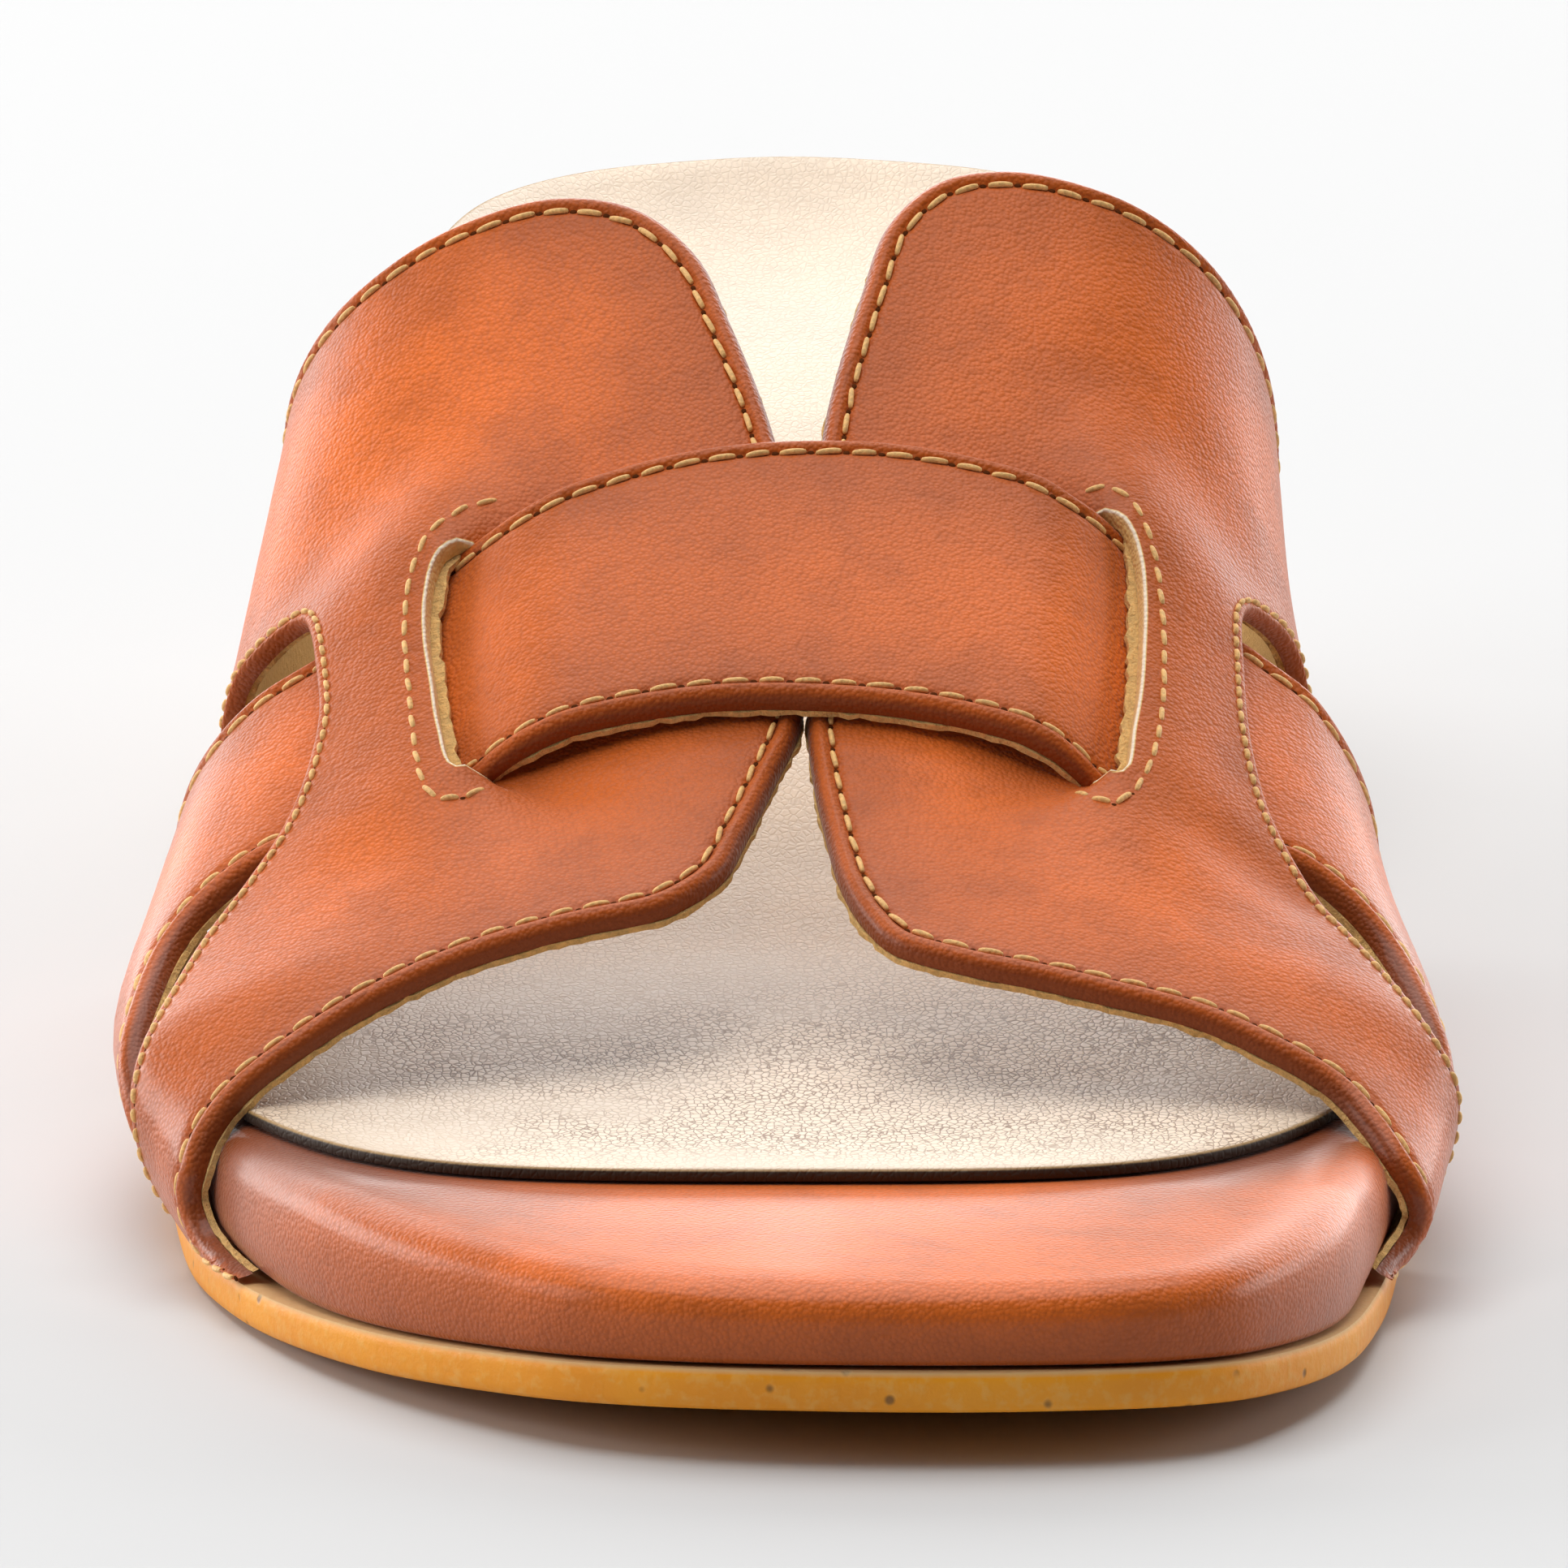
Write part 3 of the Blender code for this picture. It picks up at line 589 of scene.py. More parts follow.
def loft(name, rings):
    """A circle laid on the first ring, extruded ring by ring and filled at both ends."""
    deselect()
    bpy.ops.mesh.primitive_circle_add(vertices=len(rings[0]))
    made = bpy.context.object
    made.name = made.data.name = name
    around = made.data.attributes.new("around", "INT", "POINT")
    around.data.foreach_set("value", np.arange(len(rings[0])))
    made.data.attributes.new("ring", "INT", "POINT")
    bpy.ops.object.mode_set(mode="EDIT")
    bpy.ops.mesh.select_mode(type="VERT")
    bpy.ops.mesh.select_all(action="SELECT")
    for number, ring in enumerate(rings):
        if number == 1:
            fill_ring()
            select_boundary()
        if number:
            bpy.ops.mesh.extrude_edges_move()
        shape = bmesh.from_edit_mesh(made.data)
        places = shape.verts.layers.int["around"]
        levels = shape.verts.layers.int["ring"]
        for vertex in shape.verts:
            if vertex.select:
                vertex.co = ring[vertex[places]]
                vertex[levels] = number
        bmesh.update_edit_mesh(made.data)
    fill_ring()
    bpy.ops.mesh.select_all(action="SELECT")
    bpy.ops.mesh.normals_make_consistent(inside=False)
    bpy.ops.object.mode_set(mode="OBJECT")
    return made


def fill_ring():
    """Fills the selected ring with triangles."""
    bpy.ops.mesh.edge_face_add()
    bpy.ops.mesh.quads_convert_to_tris(ngon_method="BEAUTY")


def select_boundary():
    """Selects the open edges of the mesh in edit mode."""
    bpy.ops.mesh.select_all(action="SELECT")
    bpy.ops.mesh.region_to_loop()


def towards_spine(outline, share, front, rear):
    """The outline drawn in towards a line down its middle, by a share of the way."""
    y = np.clip(outline[:, 1], front, rear)
    middle = (half_width(y / size("length"), 1) - half_width(y / size("length"), -1)) / 2
    spine = np.stack([middle, y], axis=1)
    return outline + (spine - outline) * share


def plate(name, outline, rings, floor, roof, spine, tuck=1.0):
    """A closed piece between a floor and a roof surface, with its edge lofted through rings."""
    first, last = inset(outline, rings[0].inset * tuck), inset(outline, rings[-1].inset)
    below = [(towards_spine(first, share, *spine), 0.0) for share in FACE_SHARES[::-1]]
    edge = [(inset(outline, ring.inset * (tuck if ring.share < 0.5 else 1.0)), ring.share)
            for ring in rings]
    above = [(towards_spine(last, share, *spine), 1.0) for share in FACE_SHARES]
    levels = []
    for points, share in below + edge + above:
        low, high = floor(points), roof(points)
        levels.append(world(np.column_stack([points, low + (high - low) * share])))
    made = loft(name, levels)
    made["edge_rings"] = (len(below), len(below) + len(edge))
    return made


def ring_numbers(made):
    found = np.zeros(len(made.data.vertices), np.int32)
    made.data.attributes["ring"].data.foreach_get("value", found)
    return found


def write_values(mesh, name, values):
    """A float attribute with a value for each vertex."""
    found = mesh.attributes.new(name, "FLOAT", "POINT")
    found.data.foreach_set("value", np.asarray(values, np.float32))


# The last as a fine grid of points and outward directions

class Last:
    """The upper's outer face, read at flat pattern places: station and girth in millimetres."""

    def __init__(self):
        length = size("length")
        self.low = STATION_SPAN[0] * length
        self.rows = int((STATION_SPAN[1] - STATION_SPAN[0]) * length / STATION_STEP) + 1
        stations = (self.low + np.arange(self.rows) * STATION_STEP) / length
        shares = np.linspace(-1.0, 1.0, GIRTH_STEPS)
        self.points = np.array([self.section(station, shares) for station in stations])
        along = np.gradient(self.points, axis=0)
        across = np.gradient(self.points, axis=1)
        normals = np.cross(across, along)
        self.normals = normals / np.linalg.norm(normals, axis=2)[:, :, None]

    @staticmethod
    def side(station, side):
        """One side of a section as distances out from the ridge and heights, ridge to feather."""
        half = size("ball_width") / 2
        bulge_out = column(LAST_SECTIONS, "medial" if side > 0 else "lateral", station) * half
        shift = column(LAST_SECTIONS, "shift", station) * half
        ridge = column(LAST_SECTIONS, "ridge", station) * size("instep")
        bulge_up = column(LAST_SECTIONS, "bulge", station) * size("instep")
        power = 2 / column(LAST_SECTIONS, "roundness", station)
        feather = outsole_top(np.array([[0.0, station * size("length")]]))[0] + GAP
        reach = bulge_out - side * shift
        tuck = bulge_out - half_width(station, side) - FEATHER_OVERHANG
        turn = np.linspace(0.0, np.pi / 2, ARC_STEPS)
        drop = np.linspace(0.0, 1.0, ARC_STEPS)[1:]
        widest = feather + bulge_up
        out = np.concatenate([reach * np.sin(turn) ** power, reach - tuck * drop**2])
        up = np.concatenate([widest + (ridge - widest) * np.cos(turn) ** power,
                             widest - bulge_up * drop])
        return shift, out, up

    def section(self, station, shares):
        """Points across one station, from the lateral to the medial feather line."""
        found = np.zeros((len(shares), 3))
        found[:, 1] = station * size("length")
        totals = []
        for side in (-1, 1):
            mine = shares < 0 if side < 0 else shares >= 0
            shift, out, up = self.side(station, side)
            lengths = np.concatenate([[0.0], np.cumsum(np.hypot(np.diff(out), np.diff(up)))])
            totals.append((side, mine, shift, out, up, lengths))
        even = sum(lengths[-1] for *_, lengths in totals) / 2
        for side, mine, shift, out, up, lengths in totals:
            share = np.abs(shares[mine])
            near = np.exp(-((share / RIDGE_BLEND) ** 2))
            reach = share * (lengths[-1] + (even - lengths[-1]) * near)
            found[mine, 0] = shift + side * np.interp(reach, lengths, out)
            found[mine, 2] = np.interp(reach, lengths, up)
        return found

    def read(self, grid, flat):
        """A grid read between its points."""
        row = np.clip((flat[:, 0] - self.low) / STATION_STEP, 0, self.rows - CELL_END)
        place = np.clip((flat[:, 1] / HALF_GIRTH + 1) / 2, 0, 1) * (GIRTH_STEPS - CELL_END)
        i, j = row.astype(int), place.astype(int)
        u, v = (row - i)[:, None], (place - j)[:, None]
        front = grid[i, j] * (1 - v) + grid[i, j + 1] * v
        rear = grid[i + 1, j] * (1 - v) + grid[i + 1, j + 1] * v
        return front * (1 - u) + rear * u

    def at(self, flat, lift=0.0):
        flat = np.asarray(flat, float)
        return self.read(self.points, flat) + self.normal(flat) * np.reshape(lift, (-1, 1))

    def normal(self, flat):
        found = self.read(self.normals, np.asarray(flat, float))
        return found / np.linalg.norm(found, axis=1)[:, None]

    def flat_step(self, flat, direction):
        """The flat move that goes a millimetre along a direction lying in the surface."""
        along = (self.at(flat + [PROBE, 0]) - self.at(flat - [PROBE, 0])) / (2 * PROBE)
        across = (self.at(flat + [0, PROBE]) - self.at(flat - [0, PROBE])) / (2 * PROBE)
        aa, ab, bb = (along**2).sum(1), (along * across).sum(1), (across**2).sum(1)
        da, db = (direction * along).sum(1), (direction * across).sum(1)
        spread = aa * bb - ab**2
        return np.stack([(da * bb - db * ab) / spread, (db * aa - da * ab) / spread], axis=1)


@cache
def last():
    return Last()


# Leather panels on the last

def flat_marks(marks):
    return [(mark.station * size("length"), mark.girth * HALF_GIRTH) for mark in marks]


class Outline:
    """A closed pattern edge at a fine step, with the kind of edge at every point."""

    def __init__(self, sections, holes=()):
        """Sections are (kind, marks) in order round the piece; holes are closed raw-edged lists."""
        loops = [self.joined(sections)]
        loops += [self.ringed(marks) for marks in holes]
        self.loops = loops

    @staticmethod
    def joined(sections):
        points, kinds = [], []
        for kind, marks in sections:
            flat = flat_marks(marks)
            path = curve_through(flat, FINE_STEP, False)
            points.append(path[:-1])
            kinds.append(np.full(len(path) - 1, kind))
        return np.vstack(points), np.concatenate(kinds)

    @staticmethod
    def ringed(marks):
        path = curve_through(flat_marks(marks), FINE_STEP, True)
        return path, np.full(len(path), RAW)

    def tree(self):
        """A search tree over the edge in space, and the kind at each of its points."""
        flat = np.vstack([points for points, _ in self.loops])
        kinds = np.concatenate([kinds for _, kinds in self.loops])
        places = last().at(flat)
        tree = KDTree(len(places))
        for i, place in enumerate(places):
            tree.insert(place, i)
        tree.balance()
        return tree, kinds

    def rims(self):
        """Each loop at the mesh's step: flat points, kinds, and the flat move inwards by 1 mm."""
        found = []
        for number, (points, kinds) in enumerate(self.loops):
            places = last().at(points)
            steps = np.linalg.norm(np.roll(places, -1, axis=0) - places, axis=1)
            lengths = np.concatenate([[0.0], np.cumsum(steps)])
            count = max(RIM_LEAST, round(lengths[-1] / EDGE_STEP))
            picks = np.searchsorted(lengths, np.arange(count) * lengths[-1] / count)
            picks = np.unique(np.minimum(picks, len(points) - 1))
            flat = points[picks]
            found.append((flat, kinds[picks], self.inwards(flat, number == 0)))
        return found

    def inwards(self, flat, outer):
        """The flat move of a millimetre into the leather, at each point of a loop."""
        places, normals = last().at(flat), last().normal(flat)
        along = np.roll(places, -1, axis=0) - np.roll(places, 1, axis=0)
        along /= np.linalg.norm(along, axis=1)[:, None]
        step = last().flat_step(flat, np.cross(normals, along))
        probe = flat + step * INWARD_PROBE
        hits = inside(probe, self.loops[0][0] if outer else flat)
        if (hits == outer).mean() < 0.5:
            step = -step
        return step


def distances(tree, places):
    """Distance to the nearest edge point, and that point's number, for each place."""
    found = [tree.find(place) for place in places]
    return np.array([hit[2] for hit in found]), np.array([hit[1] for hit in found])


def field(outline, rims, tree, rings, grid):
    """Flat points of a panel: the rims, rings inside them and a grid over the rest."""
    groups = [flat for flat, _, _ in rims]
    for flat, _, step in rims:
        for distance in rings:
            ring = flat + step * distance
            gaps, _ = distances(tree, last().at(ring))
            groups.append(ring[gaps > distance * RING_CLEARANCE])
    edge = outline.loops[0][0]
    low, high = edge.min(axis=0), edge.max(axis=0)
    lines = []
    for number, y in enumerate(np.arange(low[1], high[1], grid * GRID_ROW)):
        xs = np.arange(low[0] + (number % 2) * grid / 2, high[0], grid)
        lines.append(np.column_stack([xs, np.full(len(xs), y)]))
    cells = np.vstack(lines)
    cells = cells[inside(cells, edge)]
    for hole, _ in outline.loops[1:]:
        cells = cells[~inside(cells, hole)]
    gaps, _ = distances(tree, last().at(cells))
    groups.append(cells[gaps > (rings[-1] if rings else 0.0) + grid * GRID_CLEARANCE])
    return np.vstack(groups)


def triangles(rims, flat):
    """Triangles over a panel's flat points, with nothing in its holes."""
    edges, start = [], 0
    for rim, _, _ in rims:
        count = len(rim)
        edges += [(start + i, start + (i + 1) % count) for i in range(count)]
        start += count
    filled = delaunay_2d_cdt([Vector(p) for p in flat], edges, [], 1, WELD)
    order = [source[0] for source in filled[3]]
    faces = np.array([[order[i] for i in face] for face in filled[2]])
    middles = flat[faces].mean(axis=1)
    keep = inside(middles, rims[0][0])
    for rim, _, _ in rims[1:]:
        keep &= ~inside(middles, rim)
    return faces[keep]


def side_walls(rims, layer):
    """Faces between each rim and its copy, whose points come a layer later."""
    walls, start = [], 0
    for rim, _, _ in rims:
        count = len(rim)
        for i in range(count):
            j = (i + 1) % count
            walls.append((start + i, start + j, start + j + layer, start + i + layer))
        start += count
    return walls


def edge_drop(gap, kind):
    """How far the leather's face lies below its field near an edge, and swells and sinks there."""
    radius = EDGE_RADIUS[kind]
    into = np.clip(radius - gap, 0.0, None)
    drop = radius - np.sqrt(np.maximum(radius**2 - into**2, 0.0))
    swell = TURNED_SWELL * np.exp(-((gap - SWELL_INSET) / SWELL_WIDTH) ** 2) * (kind == TURNED)
    thread = np.where(kind == BOUND, BOUND_INSET, STITCH_INSET)
    groove = GROOVE_DEPTH[kind] * np.exp(-((gap - thread) / GROOVE_WIDTH) ** 2)
    lift = swell - groove - drop
    return np.where(kind == TUCKED, 0.0, lift)


def leather_panel(name, outline, base_lift, thick):
    """A closed leather piece on the last, with rolled or cut edges and a sunk stitch line."""
    tree, kinds = outline.tree()
    rims = outline.rims()
    flat = field(outline, rims, tree, EDGE_RINGS, FIELD_GRID)
    faces = triangles(rims, flat)
    gap, nearest = distances(tree, last().at(flat))
    kind = kinds[nearest]
    rim_count = sum(len(rim) for rim, _, _ in rims)
    gap[:rim_count] = 0.0
    kind[:rim_count] = np.concatenate([kinds for _, kinds, _ in rims])
    face_lift = base_lift(flat) + edge_drop(gap, kind)
    back = field(outline, rims, tree, (), BACK_GRID)
    back_faces = triangles(rims, back) + len(flat)
    places = np.vstack([last().at(flat, face_lift), last().at(back, base_lift(back) - thick)])
    burnish = BURNISH[kind] * np.exp(-((gap / BURNISH_REACH[kind]) ** 2))
    raw = np.where((kind == RAW) & (gap < RAW_REACH), np.where(gap < ON_RIM, RAW_RIM, 1.0), 0.0)
    # Leather darkened out from every edge: partly wear, partly painted shade where the pieces meet and
    # overlap
    worn = SHADE_AND_WEAR * np.exp(-((gap / SHADE_AND_WEAR_REACH) ** 2))
    back_edge, back_raw = np.ones(len(back)), np.zeros(len(back))
    back_edge[:rim_count] = np.maximum(BURNISH[kind[:rim_count]], BACK_BURNISH)
    back_raw[:rim_count] = RAW_BACK * (kind[:rim_count] == RAW)
    attributes = {
        "edge": np.concatenate([burnish, back_edge]),
        "raw": np.concatenate([raw, back_raw]),
        "worn": np.concatenate([worn, np.ones(len(back))]),
    }
    walls = side_walls(rims, len(flat))
    all_faces = list(map(tuple, faces)) + walls + list(map(tuple, back_faces))
    return mesh_piece(name, places, all_faces, attributes)


def mesh_piece(name, places, faces, attributes):
    """An object from shoe-frame places and faces, with normals made consistent and shaded smooth."""
    mesh = bpy.data.meshes.new(name)
    mesh.from_pydata(world(places).tolist(), [], [tuple(int(i) for i in face) for face in faces])
    for key, values in attributes.items():
        write_values(mesh, key, values)
    made = bpy.data.objects.new(name, mesh)
    bpy.context.scene.collection.objects.link(made)
    choose(made)
    bpy.ops.object.mode_set(mode="EDIT")
    bpy.ops.mesh.select_all(action="SELECT")
    bpy.ops.mesh.delete_loose(use_verts=True, use_edges=True, use_faces=False)
    bpy.ops.mesh.select_all(action="SELECT")
    bpy.ops.mesh.normals_make_consistent(inside=False)
    bpy.ops.object.mode_set(mode="OBJECT")
    return made


SMOOTH_ANGLE = 0.8


def finish_piece(made, material, slot_name, *replaced):
    """Shading, material, body and the nodes that the piece stands for; the slot name is not used."""
    choose(made)
    bpy.ops.object.shade_smooth_by_angle(angle=SMOOTH_ANGLE)
    made.data.materials.clear()
    made.data.materials.append(material)
    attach(made, BODY)
    if replaced:
        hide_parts(*replaced)
    return made


def crease_lift(flat, creases):
    """Soft troughs and ridges along short lines of the pattern."""
    lift = np.zeros(len(flat))
    for crease in creases:
        start, end = (np.array(p) for p in flat_marks([crease.start, crease.end]))
        along = end - start
        share = np.clip(((flat - start) @ along) / (along @ along), 0.0, 1.0)
        gap = np.linalg.norm(flat - start - share[:, None] * along, axis=1)
        lift += crease.height * np.exp(-((gap / crease.width) ** 2))
    return lift


LIP_RISE, LIP_REACH = 1.9, 9.0
SLOT_PRESS, PRESS_REACH, SLOT_STEP = 0.9, 8.0, 1.0

# The lip's step across the slot's edge, and how it widens past the slot's ends
LIP_IN, LIP_OUT = -2.2, -0.4
LIP_IN_WIDER, LIP_OUT_WIDER, LIP_END = 2.0, 0.6, 4.0


def slot_lift(flat, slot):
    """The flap rises at a slot's outer lip, where the strap goes under it, and dips inside it."""
    rim = curve_through(flat_marks(slot), SLOT_STEP, True)
    gap = np.array([np.hypot(rim[:, 0] - x, rim[:, 1] - y).min() for x, y in flat])
    lip = [mark for mark, after in zip(slot, slot[1:]) if after.station > mark.station]
    stations, girths = np.array(flat_marks(lip)).T
    edge = np.abs(np.interp(flat[:, 0], stations, girths))
    past = np.maximum(np.maximum(flat[:, 0] - stations[-1], stations[0] - flat[:, 0]), 0.0)
    reach = np.minimum(past, LIP_END)
    outer = ease(LIP_IN - LIP_IN_WIDER * reach, LIP_OUT + LIP_OUT_WIDER * reach,
                 np.abs(flat[:, 1]) - edge)
    rise = LIP_RISE * np.exp(-((gap / LIP_REACH) ** 2)) * outer
    press = SLOT_PRESS * np.exp(-((gap / PRESS_REACH) ** 2)) * (1.0 - outer)
    same_side = np.sign(flat[:, 1]) == np.sign(slot[0].girth)
    return np.where(same_side, rise - press, 0.0)


def flap_outline(edge, slit, slot):
    return Outline([(TURNED, edge), (TUCKED, [edge[-1], slit[0]]), (BOUND, slit),
                    (TUCKED, [slit[-1], edge[0]])], [slot])


def strap_outline():
    front = [Mark(row.front, row.girth) for row in BRIDGE_STRAP]
    rear = [Mark(row.rear, row.girth) for row in BRIDGE_STRAP[::-1]]
    return Outline([(TURNED, front), (TUCKED, [front[-1], rear[0]]), (TURNED, rear),
                    (TUCKED, [rear[-1], front[0]])])


STRAP_CROWN = 0.5


def strap_lift(flat):
    """The strap over the flaps, through the slots and slits, a little crowned across its width."""
    girth = flat[:, 1] / HALF_GIRTH
    front = column(BRIDGE_STRAP, "front", girth, "girth") * size("length")
    rear = column(BRIDGE_STRAP, "rear", girth, "girth") * size("length")
    across = np.clip((flat[:, 0] - front) / (rear - front), 0.0, 1.0)
    crown = STRAP_CROWN * (4 * across * (1 - across) - 0.5)
    flare = column(BRIDGE_STRAP, "flare", girth, "girth") * across**2
    return column(BRIDGE_STRAP, "lift", girth, "girth") + crown + flare


Piece = namedtuple("Piece", "outline lift")


@cache
def leather_pieces():
    """The three cut leathers of the upper, by name."""
    def flap(edge, slit, slot, creases):
        return Piece(flap_outline(edge, slit, slot),
                     lambda flat: crease_lift(flat, creases) + slot_lift(flat, slot))

    return {
        "lateral_flap": flap(LATERAL_EDGE, LATERAL_SLIT, LATERAL_SLOT, LATERAL_CREASES),
        "medial_flap": flap(MEDIAL_EDGE, MEDIAL_SLIT, MEDIAL_SLOT, MEDIAL_CREASES),
        "bridge_strap": Piece(strap_outline(), strap_lift),
    }


# Linings

LINING_GAP = 0.02
# Reach of the rim, past which the suede is painted darker as shade
LINING_RIM = 1.2
LINING_RINGS = (0.5, 1.4)
SLOT_LEDGE, LEDGE_BLEND = 0.75, 2.0
FUZZ, FUZZ_HIGH = 0.10, 0.6


def lining_panel(name, outline, base_lift, high, low, rng):
    """Suede under a leather piece, with a ragged edge that just shows past it."""
    tree, _ = outline.tree()
    rims = outline.rims()
    flat = field(outline, rims, tree, LINING_RINGS, BACK_GRID)
    faces = triangles(rims, flat)
    rim_count = sum(len(rim) for rim, _, _ in rims)
    steps = np.vstack([step for _, _, step in rims])
    kinds = np.concatenate([kinds for _, kinds, _ in rims])
    back = LINING_BACK[kinds]
    start = len(rims[0][0])
    for rim, _, _ in rims[1:]:
        out = np.abs(rim[:, 1])
        ledge = SLOT_LEDGE * ease(out.mean(), out.mean() + LEDGE_BLEND, out)
        back[start:start + len(rim)] -= ledge
        start += len(rim)
    moved = flat.copy()
    moved[:rim_count] += steps * (back + rng.normal(0.0, FUZZ, rim_count))[:, None]
    lift = base_lift(flat)
    ragged = np.zeros(len(flat))
    ragged[:rim_count] = rng.normal(0.0, FUZZ * FUZZ_HIGH, rim_count)
    places = np.vstack([last().at(moved, lift - high + np.minimum(ragged, 0)),
                        last().at(moved, lift - low + np.maximum(ragged, 0))])
    walls = side_walls(rims, len(flat))
    both = [tuple(face) for face in faces] + [tuple(face) for face in faces + len(flat)]
    gap, _ = distances(tree, last().at(flat))
    # How near the rim each point lies; away from it the suede is painted darker as shade
    rim = np.exp(-((gap / LINING_RIM) ** 2))
    return mesh_piece(name, places, both + walls, {"rim": np.concatenate([rim, rim])})


# Stitches, and needle holes as dark dots of painted shade

# A stitch's length at its full pitch, its width and height, and how it sits, slants, varies and dips
THREAD_LONG, FULL_PITCH, THREAD_WIDE, THREAD_HIGH = 1.9, 2.6, 0.42, 0.48
THREAD_SIT = 0.02
SLANT, SLANT_SPREAD = 0.06, 0.05
LONG_SPREAD = (0.94, 1.08)
THREAD_DIP = 1.1
# Dots of painted shade at the needle holes: their size and shape, and how deep they sink
HOLE_RADIUS, HOLE_LONG, HOLE_HIGH, HOLE_SINK = 0.23, 1.2, 0.12, 0.8
SLIT_PITCH, BRACKET_PITCH, BRACKET_STEP = 0.55, 0.85, 0.5


def edge_rows(piece):
    """Stitch rows of one leather: flat paths a fixed way inside its edges, with their pitch share."""
    found = []
    flat, kinds, step = piece.outline.rims()[0]
    sewn = {TURNED: (STITCH_INSET, 1.0), BOUND: (BOUND_INSET, SLIT_PITCH)}
    start = 0
    for stop in range(1, len(kinds) + 1):
        if stop == len(kinds) or kinds[stop] != kinds[start]:
            if kinds[start] in sewn:
                distance, pitch = sewn[kinds[start]]
                found.append((flat[start:stop] + step[start:stop] * distance, pitch))
            start = stop
    return found


def needle_places(path, lift_of, pitch):
    """Evenly spaced needle holes along a flat path: places in space and the leather's outward way."""
    places = last().at(path, lift_of(path))
    lengths = lengths_along(places)
    count = max(2, round(lengths[-1] / pitch))
    marks = np.linspace(0.0, lengths[-1], count + 1)
    flat = np.stack([np.interp(marks, lengths, path[:, k]) for k in range(2)], axis=1)
    return last().at(flat, lift_of(flat)), last().normal(flat)


def copies(pattern, frames):
    """Copies of a small mesh, each placed by a 3x3 of directions and a centre."""
    points = np.array([vertex.co for vertex in pattern.vertices])
    faces = [tuple(face.vertices) for face in pattern.polygons]
    places, joined = [], []
    for number, (axes, centre) in enumerate(frames):
        places.append(points @ axes + centre)
        joined += [tuple(i + number * len(points) for i in face) for face in faces]
    return np.vstack(places), joined


def thread_pattern():
    """One stitch: a plump oval of thread whose ends turn down into the leather."""
    deselect()
    bpy.ops.mesh.primitive_uv_sphere_add(segments=10, ring_count=8, radius=0.5)
    made = bpy.context.object
    bpy.ops.object.mode_set(mode="EDIT")
    bpy.ops.mesh.select_all(action="SELECT")
    bpy.ops.transform.rotate(value=np.pi / 2, orient_axis="Y", center_override=(0, 0, 0))
    bpy.ops.object.mode_set(mode="OBJECT")
    mesh = made.data.copy()
    bpy.data.objects.remove(made, do_unlink=True)
    for vertex in mesh.vertices:
        x, y, z = vertex.co
        full = (1 - (2 * x) ** 4) ** 0.25 if abs(x) < 0.5 else 0.0
        round_share = max((0.25 - x * x) ** 0.5 * 2, 1e-6)
        vertex.co = (x, y / round_share * full, z / round_share * full - THREAD_DIP * x * x)
    return mesh


def stitch_rows():
    """Every stitch row as needle places and outward directions."""
    found = []
    pitch = size("stitch_pitch")
    for piece in leather_pieces().values():
        for path, share in edge_rows(piece):
            found.append(needle_places(path, piece.lift, pitch * share))
    for name, bracket in (("lateral_flap", LATERAL_BRACKET), ("medial_flap", MEDIAL_BRACKET)):
        path = curve_through(flat_marks(bracket), BRACKET_STEP, False)
        found.append(needle_places(path, leather_pieces()[name].lift, pitch * BRACKET_PITCH))
    return found


def stitch_frames(rng):
    """Axes and centres of every stitch."""
    frames = []
    for places, normals in stitch_rows():
        for start, end, up in zip(places, places[1:], normals):
            along = end - start
            reach = np.linalg.norm(along)
            along = along / reach
            sideways = np.cross(up, along)
            sideways /= np.linalg.norm(sideways)
            along = along + sideways * rng.normal(SLANT, SLANT_SPREAD)
            along /= np.linalg.norm(along)
            long = reach * THREAD_LONG / FULL_PITCH * rng.uniform(*LONG_SPREAD)
            axes = np.stack([along * long, sideways * THREAD_WIDE, up * THREAD_HIGH])
            frames.append((axes, (start + end) / 2 + up * THREAD_SIT))
    return frames


# Where the dark dots of painted shade sit in the needle holes
def hole_frames():
    frames = []
    for places, normals in stitch_rows():
        for i, (place, up) in enumerate(zip(places, normals)):
            other = places[i + 1] if i + 1 < len(places) else places[i - 1]
            along = (other - place) / np.linalg.norm(other - place)
            sideways = np.cross(up, along)
            axes = np.stack([along * HOLE_RADIUS * HOLE_LONG, sideways * HOLE_RADIUS, up * HOLE_HIGH])
            frames.append((axes, place - up * (THREAD_GROOVE * HOLE_SINK)))
    return frames


# Materials

class Wire:
    """A shader socket that Python arithmetic turns into Math nodes."""

    def __init__(self, paint, socket):
        self.paint = paint
        self.socket = socket

    def math(self, operation, first, second=0.0):
        return self.paint.node("ShaderNodeMath", {"operation": operation}, {0: first, 1: second})

    def __add__(self, other):
        return self.math("ADD", self, other)

    def __radd__(self, other):
        return self.math("ADD", other, self)

    def __sub__(self, other):
        return self.math("SUBTRACT", self, other)

    def __rsub__(self, other):
        return self.math("SUBTRACT", other, self)

    def __mul__(self, other):
        return self.math("MULTIPLY", self, other)

    def __rmul__(self, other):
        return self.math("MULTIPLY", other, self)


